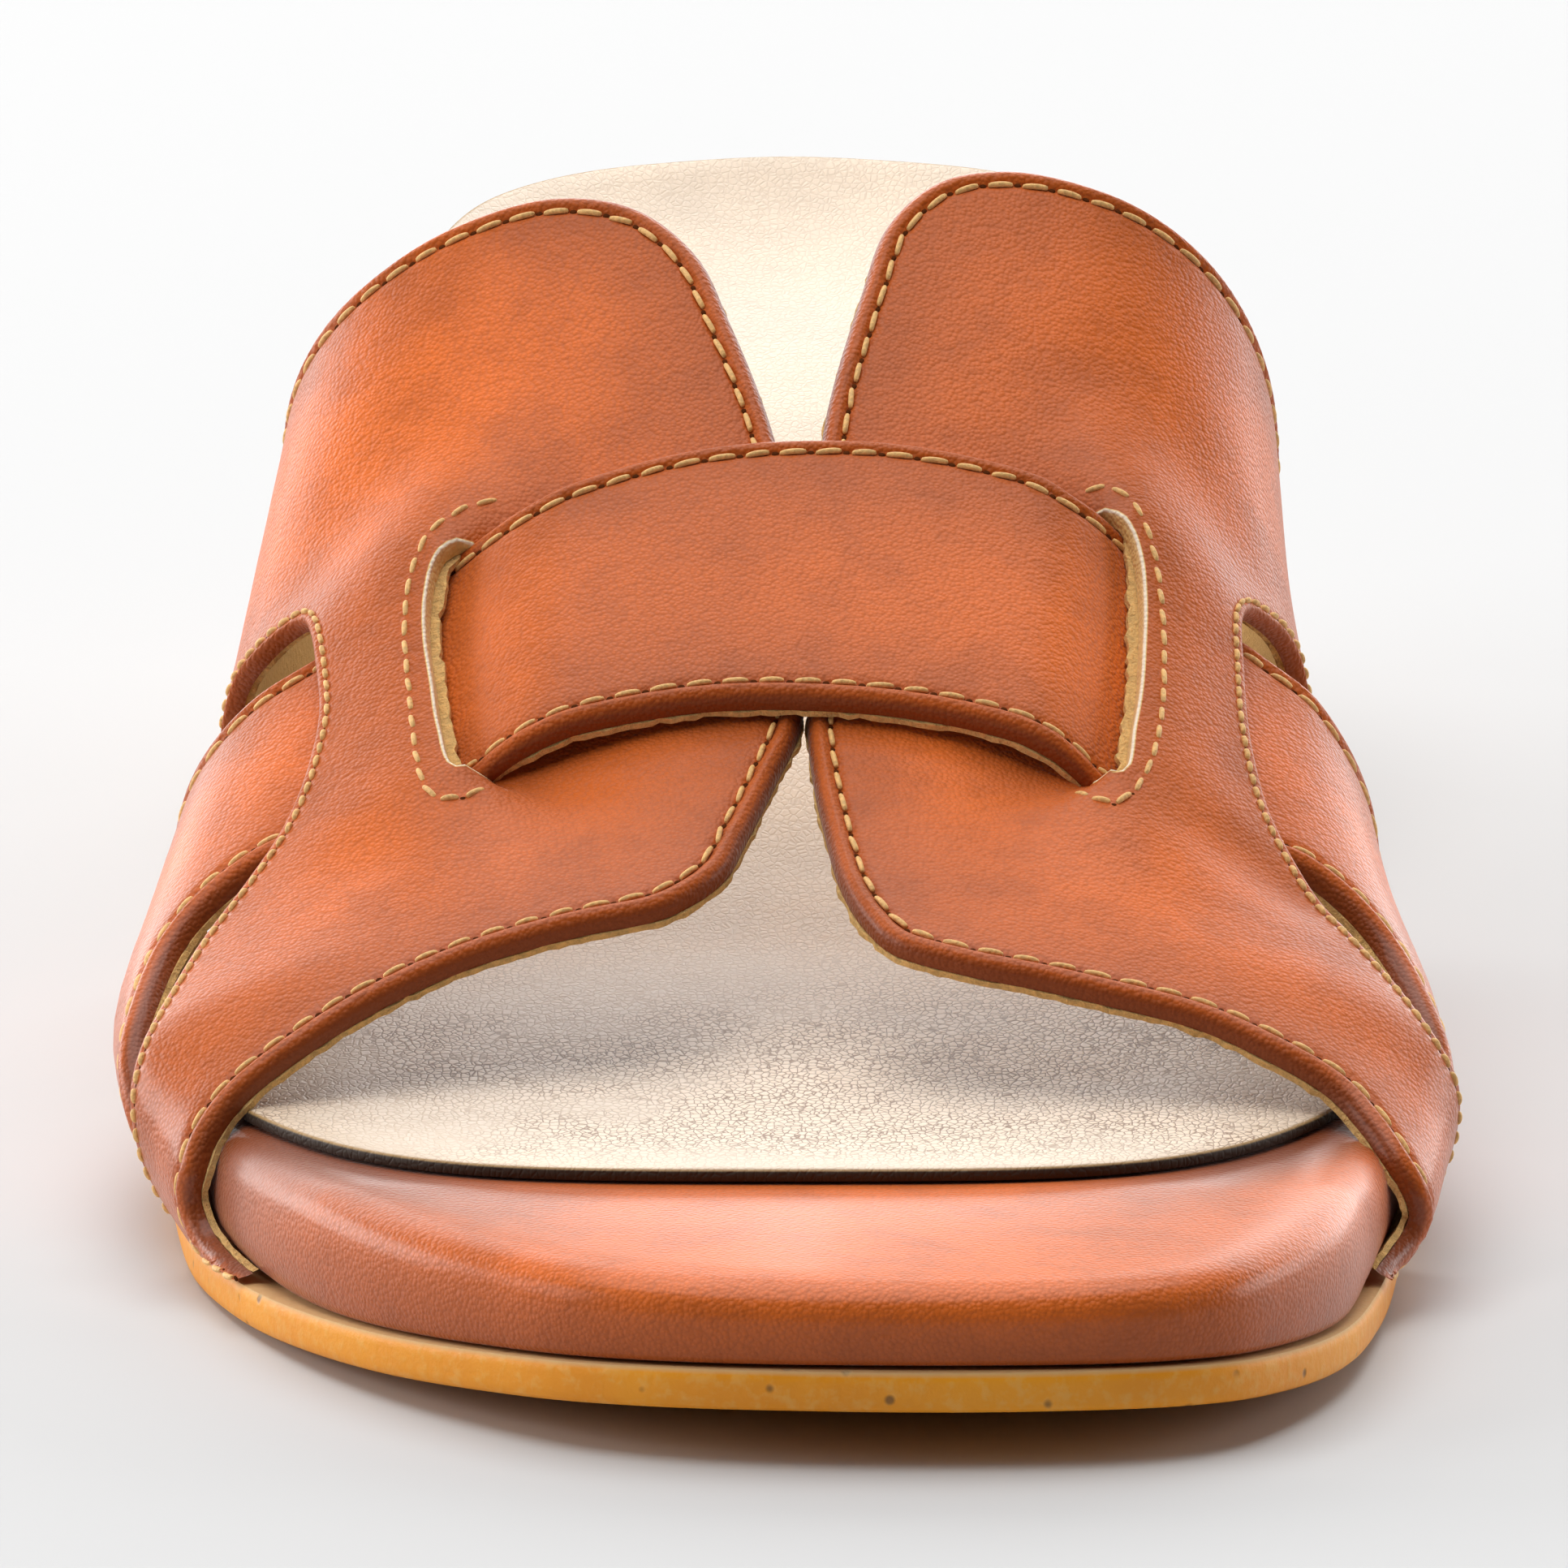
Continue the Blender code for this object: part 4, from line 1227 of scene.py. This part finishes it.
class Paint:
    """A material under construction: one method adds any node and returns one of its outputs."""

    def __init__(self, name):
        self.material = bpy.data.materials.new(name)
        self.material.use_nodes = True
        self.tree = self.material.node_tree
        self.shader = self.tree.nodes["Principled BSDF"]

    def node(self, kind, settings=None, inputs=None, output=0):
        made = self.tree.nodes.new(kind)
        for key, value in (settings or {}).items():
            setattr(made, key, value)
        for key, value in (inputs or {}).items():
            self.feed(made.inputs[key], value)
        return Wire(self, made.outputs[output])

    def feed(self, socket, value):
        if isinstance(value, Wire):
            self.tree.links.new(value.socket, socket)
        else:
            socket.default_value = value

    def principled(self, **inputs):
        for key, value in inputs.items():
            self.feed(self.shader.inputs[key.replace("_", " ")], value)

    def place(self):
        return self.node("ShaderNodeTexCoord", output="Object")

    def noise(self, place, scale, detail=3.0, rough=0.55):
        return self.node("ShaderNodeTexNoise", {},
                         {"Vector": place, "Scale": scale, "Detail": detail, "Roughness": rough})

    def cells(self, place, scale, feature="F1"):
        return self.node("ShaderNodeTexVoronoi", {"feature": feature},
                         {"Vector": place, "Scale": scale}, "Distance")

    def part(self, place, axis):
        """One coordinate of a place."""
        return self.node("ShaderNodeSeparateXYZ", {}, {"Vector": place}, axis)

    def stretch(self, place, scale):
        return self.node("ShaderNodeMapping", {}, {"Vector": place, "Scale": scale})

    def between(self, value, low, high, to_low=0.0, to_high=1.0):
        return self.node("ShaderNodeMapRange", {"interpolation_type": "SMOOTHSTEP"},
                         {"Value": value, "From Min": low, "From Max": high, "To Min": to_low,
                          "To Max": to_high})

    def mix(self, share, first, second):
        """Two colours mixed; a Mix node's colour sockets have these numbers."""
        return self.node("ShaderNodeMix", {"data_type": "RGBA"}, {0: share, 6: first, 7: second}, 2)

    def attribute(self, name):
        return self.node("ShaderNodeAttribute", {"attribute_name": name}, output="Fac")

    def bump(self, height, strength, distance, below=None):
        inputs = {"Height": height, "Strength": strength, "Distance": distance}
        if below is not None:
            inputs["Normal"] = below
        return self.node("ShaderNodeBump", {}, inputs)


# The leather's coat low on the shoe and higher up on each piece, and the heights between in metres
LOW_COAT, UPPER_COAT, FOOTBED_COAT = 0.42, 0.12, 0.22
POLISH_LOW, POLISH_HIGH = 0.010, 0.034

# Fixed tints of the finishes, beside the colours that a user would change
CUT_LEATHER, PALE_LEATHER = (0.80, 0.50, 0.18, 1.0), (0.95, 0.80, 0.62, 1.0)
SUEDE_NAP = (0.92, 0.66, 0.34, 1.0)
CRACK_BROWN = (0.22, 0.11, 0.05, 1.0)
CUT_INSOLE, INSOLE_SHADE = (0.42, 0.25, 0.09, 1.0), (0.035, 0.018, 0.008, 1.0)
SOLE_HAZE, SOLE_PIT = (0.90, 0.52, 0.14, 1.0), (0.16, 0.07, 0.02, 1.0)
SOLE_FUZZ = (0.62, 0.47, 0.26, 1.0)
LIFT_SEAM = (0.10, 0.04, 0.012, 1.0)
# Painted shade inside the needle holes
HOLE_SHADE_DARK, HOLE_SHADE_PALE = (0.05, 0.014, 0.005, 1.0), (0.14, 0.04, 0.012, 1.0)
PAPER = (0.8, 0.8, 0.8, 1.0)


@cache
def cognac_leather(name, coat):
    """Smooth cowhide: fine pebbled grain, cloudy dye, burnished dark edges and pale cut edges, with
    painted shade near edges, low on the pad and in its corners, mixed with wear.
    """
    paint = Paint(name)
    place = paint.place()
    clouds = paint.noise(place, 30.0, 3.0, 0.55)
    grain = paint.cells(place, 2900.0)
    specks = paint.noise(place, 1500.0, 3.0, 0.65)
    mottle = paint.noise(place, 150.0, 4.0, 0.6)
    edge, raw, worn = (paint.attribute(key) for key in ("edge", "raw", "worn"))
    deep, light = colour("cognac_dark"), colour("cognac")
    soft = tuple(0.30 * a + 0.70 * b for a, b in zip(deep, light))
    tint = paint.mix(paint.between(clouds - 0.10 * worn, 0.34, 0.68), soft, light)
    # Painted shade mixed with wear, near the edges of every piece and low on the pad
    tint = paint.mix(worn * (0.45 + 0.6 * clouds), tint, deep)
    tint = paint.mix(0.26 * paint.between(mottle, 0.42, 0.70), tint, deep)
    tint = paint.mix(0.12 * paint.between(specks, 0.42, 0.72), tint, deep)
    tint = paint.mix(0.14 * paint.between(grain, 0.3, 0.8), tint, deep)
    # Burnished edges of the cut pieces; on the pad the same mix paints dark shade into the corners by
    # the legs
    tint = paint.mix(0.85 * paint.between(edge, 0.30, 1.0), tint, deep)
    tint = paint.mix(paint.between(raw, 0.1, 0.5), tint, CUT_LEATHER)
    tint = paint.mix(paint.between(raw, 0.6, 0.95), tint, PALE_LEATHER)
    rough = 0.36 + 0.10 * clouds + 0.10 * specks + 0.3 * raw
    polish = paint.between(paint.part(place, "Z"), POLISH_LOW, POLISH_HIGH, LOW_COAT, coat)
    pebbles = paint.bump(0.2 * specks - grain, 0.8, 0.00014)
    waves = paint.bump(paint.noise(place, 90.0, 2.0, 0.5), 0.10, 0.0008, pebbles)
    paint.principled(Base_Color=tint, Roughness=rough, Normal=waves)
    paint.principled(Specular_IOR_Level=0.16, Coat_Weight=polish, Coat_Roughness=0.25)
    paint.principled(Sheen_Weight=0.18, Sheen_Roughness=0.35)
    return paint.material


@cache
def suede():
    """Napped suede, painted darker as shade inside the shoe, away from its rim."""
    paint = Paint("suede_lining")
    place = paint.place()
    nap = paint.noise(place, 1700.0, 4.0, 0.7)
    clouds = paint.noise(place, 160.0, 3.0)
    tint = paint.mix(paint.between(nap, 0.3, 0.7), colour("suede", 0.6), colour("suede"))
    tint = paint.mix(0.4 * clouds, tint, SUEDE_NAP)
    # Painted shade: the suede darkens away from its rim, inside the shoe
    tint = paint.mix(0.8 - 0.8 * paint.attribute("rim"), tint, colour("suede", 0.45))
    paint.principled(Base_Color=tint, Roughness=0.95, Normal=paint.bump(nap, 0.9, 0.0005))
    paint.principled(Specular_IOR_Level=0.1)
    return paint.material


# Where the insole's cracks begin behind the toe and fade under the upper, in metres along the frame
CRACKS_FROM, CRACKS_FADE = (-0.096, -0.082), (-0.060, -0.020)


@cache
def crackled_insole():
    """Pearly crackled leather with a raw front edge: a golden cut line over near-black, partly the
    edge's own dark and partly painted shade.
    """
    paint = Paint("crackled_insole")
    place = paint.place()
    bent = paint.noise(place, 260.0, 3.0, 0.6)
    cracks = paint.cells(paint.stretch(place, (1.5, 0.9, 1.0)), 1250.0, "DISTANCE_TO_EDGE")
    small = paint.cells(place, 2000.0)
    clouds = paint.noise(place, 45.0, 4.0, 0.6)
    fine = paint.noise(place, 2200.0, 2.0)
    cut = paint.attribute("cut")
    along = paint.part(place, "Y")
    begun = paint.between(along, *CRACKS_FROM, 0.2, 1.0)
    ball = begun * paint.between(along, *CRACKS_FADE, 1.0, 0.15)
    crack = ball * paint.between(cracks + 0.10 * bent, 0.04, 0.17, 1.0, 0.0)
    tint = paint.mix(paint.between(clouds, 0.35, 0.65), colour("cream", 0.82), colour("cream"))
    tint = paint.mix(0.9 * crack * paint.between(clouds, 0.34, 0.56), tint, CRACK_BROWN)
    # The raw front edge: a golden cut line at its top, and below it near-black that is partly the
    # edge's own dark and partly painted shade
    tint = paint.mix(paint.between(cut, 0.1, 0.5), tint, CUT_INSOLE)
    tint = paint.mix(paint.between(cut, 0.5, 0.9), tint, INSOLE_SHADE)
    rough = 0.34 + 0.2 * clouds + 0.15 * crack + 0.3 * cut
    grain = paint.bump(paint.between(cracks, 0.0, 0.2) + 0.3 * small, 0.35, 0.00016)
    soft = paint.bump(fine, 0.12, 0.0002, grain)
    paint.principled(Base_Color=tint, Roughness=rough, Normal=soft)
    paint.principled(Coat_Weight=0.1, Coat_Roughness=0.3)
    return paint.material


@cache
def honey_rubber():
    """Translucent-looking honey rubber with small pits and a fuzzy tan top line."""
    paint = Paint("honey_rubber")
    place = paint.place()
    clouds = paint.noise(place, 60.0, 4.0, 0.6)
    fine = paint.noise(place, 900.0, 3.0, 0.6)
    pits = paint.between(paint.cells(place, 420.0), 0.08, 0.20, 1.0, 0.0)
    some = paint.between(paint.noise(place, 120.0, 1.0), 0.52, 0.60)
    top = paint.attribute("top")
    honey = colour("honey")
    deep = (honey[0] * 0.92, honey[1] * 0.82, honey[2] * 0.6, 1.0)
    tint = paint.mix(paint.between(clouds, 0.3, 0.7), deep, honey)
    tint = paint.mix(0.35 * paint.between(fine, 0.45, 0.7), tint, SOLE_HAZE)
    tint = paint.mix(0.8 * pits * some, tint, SOLE_PIT)
    tint = paint.mix(0.7 * top, tint, SOLE_FUZZ)
    rough = 0.36 + 0.18 * clouds + 0.35 * top
    bumps = paint.bump(fine - pits * some, 0.25, 0.0004)
    paint.principled(Base_Color=tint, Roughness=rough, Normal=bumps)
    paint.principled(Specular_IOR_Level=0.35, Coat_Weight=0.05, Coat_Roughness=0.25)
    return paint.material


@cache
def stacked_lifts():
    """Stacked lifts: thin level bands with a satin finish."""
    paint = Paint("stacked_lifts")
    place = paint.place()
    level = paint.stretch(place, (6.0, 6.0, 330.0))
    bands = paint.noise(level, 1.0, 3.0, 0.7)
    lines = paint.node("ShaderNodeTexWave", {"wave_type": "BANDS", "bands_direction": "Z"},
                       {"Vector": place, "Scale": 95.0, "Distortion": 0.6, "Detail": 2.0,
                        "Detail Scale": 40.0}, "Fac")
    seam = paint.between(lines, 0.0, 0.12, 1.0, 0.0)
    tint = paint.mix(paint.between(bands, 0.3, 0.7), colour("stacked", 0.55), colour("stacked"))
    tint = paint.mix(0.6 * seam, tint, LIFT_SEAM)
    rough = 0.38 + 0.2 * bands
    paint.principled(Base_Color=tint, Roughness=rough,
                     Normal=paint.bump(bands - 0.7 * seam, 0.3, 0.0004))
    paint.principled(Coat_Weight=0.2, Coat_Roughness=0.3)
    return paint.material


@cache
def thread():
    """Matt twisted thread."""
    paint = Paint("thread")
    fibre = paint.noise(paint.place(), 3200.0, 2.0)
    tint = paint.mix(paint.between(fibre, 0.3, 0.7), colour("thread", 0.72), colour("thread"))
    paint.principled(Base_Color=tint, Roughness=0.6, Normal=paint.bump(fibre, 0.5, 0.0002))
    return paint.material


@cache
def needle_hole():
    """Dark dots that paint the shade inside the needle holes."""
    paint = Paint("needle_hole")
    fibre = paint.noise(paint.place(), 900.0)
    tint = paint.mix(fibre, HOLE_SHADE_DARK, HOLE_SHADE_PALE)
    paint.principled(Base_Color=tint, Roughness=0.9, Specular_IOR_Level=0.0)
    return paint.material


@cache
def studio_floor():
    """Plain pale paper."""
    paint = Paint("studio_floor")
    tint = paint.mix(0.02 * paint.noise(paint.place(), 8.0), colour("floor"), PAPER)
    paint.principled(Base_Color=tint, Roughness=0.9)
    return paint.material


# Operators

class MULE_OT_outsole(bpy.types.Operator):
    """Honey outsole with a rounded edge and a fuzzy top line"""

    bl_idname = "mule.outsole"
    bl_label = "Outsole"

    def execute(self, context):
        made = plate("outsole_shell", sole_outline(), OUTSOLE_RINGS, underside, outsole_top,
                     OUTSOLE_SPINE)
        _, stop = made["edge_rings"]
        write_values(made.data, "top", ring_numbers(made) >= stop - TOP_LINE_RINGS)
        finish_piece(made, honey_rubber(), "honey_sole", "outsole")
        return {"FINISHED"}


class MULE_OT_heel(bpy.types.Operator):
    """Low stacked heel under the seat"""

    bl_idname = "mule.heel"
    bl_label = "Heel"

    def execute(self, context):
        half = size("ball_width") / 2

        def breast(x):
            return HEEL_BREAST * size("length") + HEEL_BREAST_BOW * (1.0 - (x / half) ** 2)

        outline = cut_line(inset(sole_outline(), HEEL_MARGIN), breast)
        made = plate("heel_stack", outline, HEEL_RINGS, lambda points: np.zeros(len(points)),
                     lambda points: underside(points) - GAP, HEEL_SPINE)
        finish_piece(made, stacked_lifts(), "stacked_heel", "heel")
        return {"FINISHED"}


class MULE_OT_footbed(bpy.types.Operator):
    """Padded footbed wrapped in cognac leather"""

    bl_idname = "mule.footbed"
    bl_label = "Footbed"

    def execute(self, context):
        outline = footbed_outline()
        station = outline[:, 1:] / size("length")
        tuck = TOE_TUCK + (1.0 - TOE_TUCK) * ease(TUCK_FROM, TUCK_TO, station)
        made = plate("footbed_wrap", outline, FOOTBED_RINGS, footbed_floor, footbed_top,
                     FOOTBED_SPINE, tuck)
        self.rub(made)
        finish_piece(made, cognac_leather("footbed_cognac", FOOTBED_COAT), "footbed_leather", "footbed")
        return {"FINISHED"}

    @staticmethod
    def rub(made):
        """Painted shade low on the pad's edge where it faces down, and at its ends along the insole's
        front edge by the legs, mixed with some rubbing.
        """
        start, stop = made["edge_rings"]
        rings = (start, start + SHADE_HALVES, stop - SHADE_ENDS)
        worn = np.interp(ring_numbers(made), rings, PAD_SHADE_AND_WEAR)
        places = np.zeros(len(made.data.vertices) * 3)
        made.data.vertices.foreach_get("co", places)
        x, y, _ = (places.reshape(-1, 3) / MM - shoe_offset()).T
        station = y / size("length")
        across = np.abs(x) / half_at(x, station)
        line = np.exp(-((y - insole_front(x)) / PAD_SHADE_REACH) ** 2)
        # Painted shade low on the pad and in a band along the insole's front edge towards the legs,
        # partly rubbing
        write_values(made.data, "worn", np.maximum(worn, line * ease(*SHADE_SPAN, across)))
        # Dark painted shade in the pad's corners by the legs, along the insole's front edge
        write_values(made.data, "edge", line * ease(*CORNER_SHADE_SPAN, across))


class MULE_OT_insole(bpy.types.Operator):
    """Cream insole with a bowed raw front edge"""

    bl_idname = "mule.insole"
    bl_label = "Insole"

    def execute(self, context):
        outline = cut_line(inset(footbed_outline(), INSOLE_MARGIN), insole_front)
        made = plate("insole_cover", outline, INSOLE_RINGS,
                     lambda points: footbed_top(points) + INSOLE_GAP,
                     lambda points: footbed_top(points) + INSOLE_GAP + size("insole_thick"),
                     INSOLE_SPINE)
        start, stop = made["edge_rings"]
        ring = ring_numbers(made)
        # Edge rings painted near-black, partly as shade, with the golden cut line just below the top
        cut = np.where(ring < stop - 2, 1.0, np.where(ring < stop - 1, 0.5, 0.0))
        write_values(made.data, "cut", np.where(ring >= start, cut, 0.0))
        finish_piece(made, crackled_insole(), "insole_leather", "insole")
        return {"FINISHED"}


class MULE_OT_upper(bpy.types.Operator):
    """Lateral flap, medial flap and bridge strap in cognac leather"""

    bl_idname = "mule.upper"
    bl_label = "Upper leathers"

    def execute(self, context):
        for name, piece in leather_pieces().items():
            made = leather_panel(name, piece.outline, piece.lift, size("leather_thick"))
            replaced = ("upper",) if name == "lateral_flap" else ()
            finish_piece(made, cognac_leather("upper_cognac", UPPER_COAT), "upper_leather", *replaced)
        return {"FINISHED"}


class MULE_OT_linings(bpy.types.Operator):
    """Suede linings under the three leathers"""

    bl_idname = "mule.linings"
    bl_label = "Linings"

    def execute(self, context):
        rng = np.random.default_rng(SEED)
        high = size("leather_thick") + LINING_GAP
        for name, piece in leather_pieces().items():
            made = lining_panel(name + "_lining", piece.outline, piece.lift, high,
                                high + size("lining_thick"), rng)
            finish_piece(made, suede(), "upper_leather")
        return {"FINISHED"}


class MULE_OT_stitches(bpy.types.Operator):
    """Every stitch, and the painted shade of every needle hole, joined"""

    bl_idname = "mule.stitches"
    bl_label = "Stitches"

    def execute(self, context):
        rng = np.random.default_rng(SEED)
        places, faces = copies(thread_pattern(), stitch_frames(rng))
        finish_piece(mesh_piece("stitches", places, faces, {}), thread(), "upper_leather")
        deselect()
        bpy.ops.mesh.primitive_uv_sphere_add(segments=8, ring_count=6, radius=1.0)
        bead = bpy.context.object
        dots = bead.data.copy()
        bpy.data.objects.remove(bead, do_unlink=True)
        places, faces = copies(dots, hole_frames())
        finish_piece(mesh_piece("needle_holes", places, faces, {}), needle_hole(), "upper_leather")
        return {"FINISHED"}


# The photograph's view: camera height angle, distance from the toe, and the frame
PHOTO_SIZE = 1932
VIEW_TILT = 13.0
VIEW_REACH = 1.5
TOE_PIXEL = (966, 1744)
PIXELS_PER_MM = 17.9
SENSOR = 36.0
FAR = 50.0
FLOOR_SIZE = 14.0

Lamp = namedtuple("Lamp", "name place aim wide high power")
LAMPS = [
    Lamp("low_back", (0.0, 3.0, 0.6), (0.0, 0.0, 0.6), 5.5, 1.2, 85.0),
    Lamp("high_back", (0.0, 3.0, 2.1), (0.0, 0.0, 0.0), 6.0, 1.6, 60.0),
    Lamp("left_wall", (-1.7, 0.8, 0.5), (0.0, 0.0, 0.3), 1.4, 0.7, 18.0),
    Lamp("right_wall", (1.7, 0.6, 0.5), (0.0, 0.0, 0.3), 1.4, 0.7, 11.0),
    Lamp("overhead", (-0.15, 0.1, 1.8), (0.0, 0.0, 0.0), 2.2, 1.6, 36.0),
    Lamp("left_front", (-1.7, -0.5, 0.7), (0.0, 0.0, 0.0), 1.0, 0.9, 8.0),
]
WORLD_LIGHT = 0.04


class MULE_OT_stage(bpy.types.Operator):
    """Pale floor, soft lamps and the camera at the photograph's angle"""

    bl_idname = "mule.stage"
    bl_label = "Stage"

    def execute(self, context):
        deselect()
        bpy.ops.mesh.primitive_plane_add(size=FLOOR_SIZE, location=(0.0, 0.0, 0.0))
        floor = context.object
        floor.name = "studio_floor"
        floor.data.materials.append(studio_floor())
        for lamp in LAMPS:
            bpy.ops.object.light_add(type="AREA", location=lamp.place)
            light = context.object
            light.name = lamp.name
            light.data.shape = "RECTANGLE"
            light.data.size, light.data.size_y = lamp.wide, lamp.high
            light.data.energy = lamp.power
            light.visible_camera = False
            aim = Vector(lamp.aim) - Vector(lamp.place)
            light.rotation_euler = aim.to_track_quat("-Z", "Y").to_euler()
        sky = bpy.data.worlds.new("studio")
        sky.use_nodes = True
        glow = sky.node_tree.nodes["Background"]
        glow.inputs["Color"].default_value = (1.0, 1.0, 1.0, 1.0)
        glow.inputs["Strength"].default_value = WORLD_LIGHT
        context.scene.world = sky
        context.scene.view_settings.view_transform = "Standard"
        self.camera(context)
        return {"FINISHED"}

    def camera(self, context):
        tilt = np.radians(VIEW_TILT)
        toe = Vector((0.0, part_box("outsole")[0].y, size("toe_spring") * MM))
        forward = Vector((0.0, np.cos(tilt), -np.sin(tilt)))
        up = Vector((0.0, np.sin(tilt), np.cos(tilt)))
        focal = VIEW_REACH / MM * PIXELS_PER_MM
        rise = (PHOTO_SIZE / 2 - TOE_PIXEL[1]) / focal * VIEW_REACH
        bpy.ops.object.camera_add(location=toe - forward * VIEW_REACH - up * rise)
        camera = context.object
        camera.rotation_euler = (np.pi / 2 - tilt, 0.0, 0.0)
        camera.data.sensor_width = SENSOR
        camera.data.lens = focal / PHOTO_SIZE * SENSOR
        camera.data.clip_end = FAR
        context.scene.camera = camera


class MULE_PT_sidebar(bpy.types.Panel):
    """Sizes, colours and the build steps"""

    bl_idname = "MULE_PT_sidebar"
    bl_label = "Heeled mule"
    bl_space_type = "VIEW_3D"
    bl_region_type = "UI"
    bl_category = "Mule"

    def draw(self, context):
        for group in (context.scene.mule_sizes, context.scene.mule_colours):
            box = self.layout.box()
            for name in group.__annotations__:
                box.prop(group, name)
        for operator in OPERATORS:
            self.layout.operator(operator.bl_idname)


OPERATORS = (
    MULE_OT_outsole,
    MULE_OT_heel,
    MULE_OT_footbed,
    MULE_OT_insole,
    MULE_OT_upper,
    MULE_OT_linings,
    MULE_OT_stitches,
    MULE_OT_stage,
)
CLASSES = (MuleSizes, MuleColours) + OPERATORS + (MULE_PT_sidebar,)


def register():
    for each in CLASSES:
        bpy.utils.register_class(each)
    bpy.types.Scene.mule_sizes = bpy.props.PointerProperty(type=MuleSizes)
    bpy.types.Scene.mule_colours = bpy.props.PointerProperty(type=MuleColours)


def unregister():
    del bpy.types.Scene.mule_colours
    del bpy.types.Scene.mule_sizes
    for each in reversed(CLASSES):
        bpy.utils.unregister_class(each)


def main():
    register()
    for node in frame["nodes"].values():
        node.select_set(False)
    bpy.ops.mule.outsole()
    bpy.ops.mule.heel()
    bpy.ops.mule.footbed()
    bpy.ops.mule.insole()
    bpy.ops.mule.upper()
    bpy.ops.mule.linings()
    bpy.ops.mule.stitches()
    bpy.ops.mule.stage()


if __name__ == "__main__":
    main()
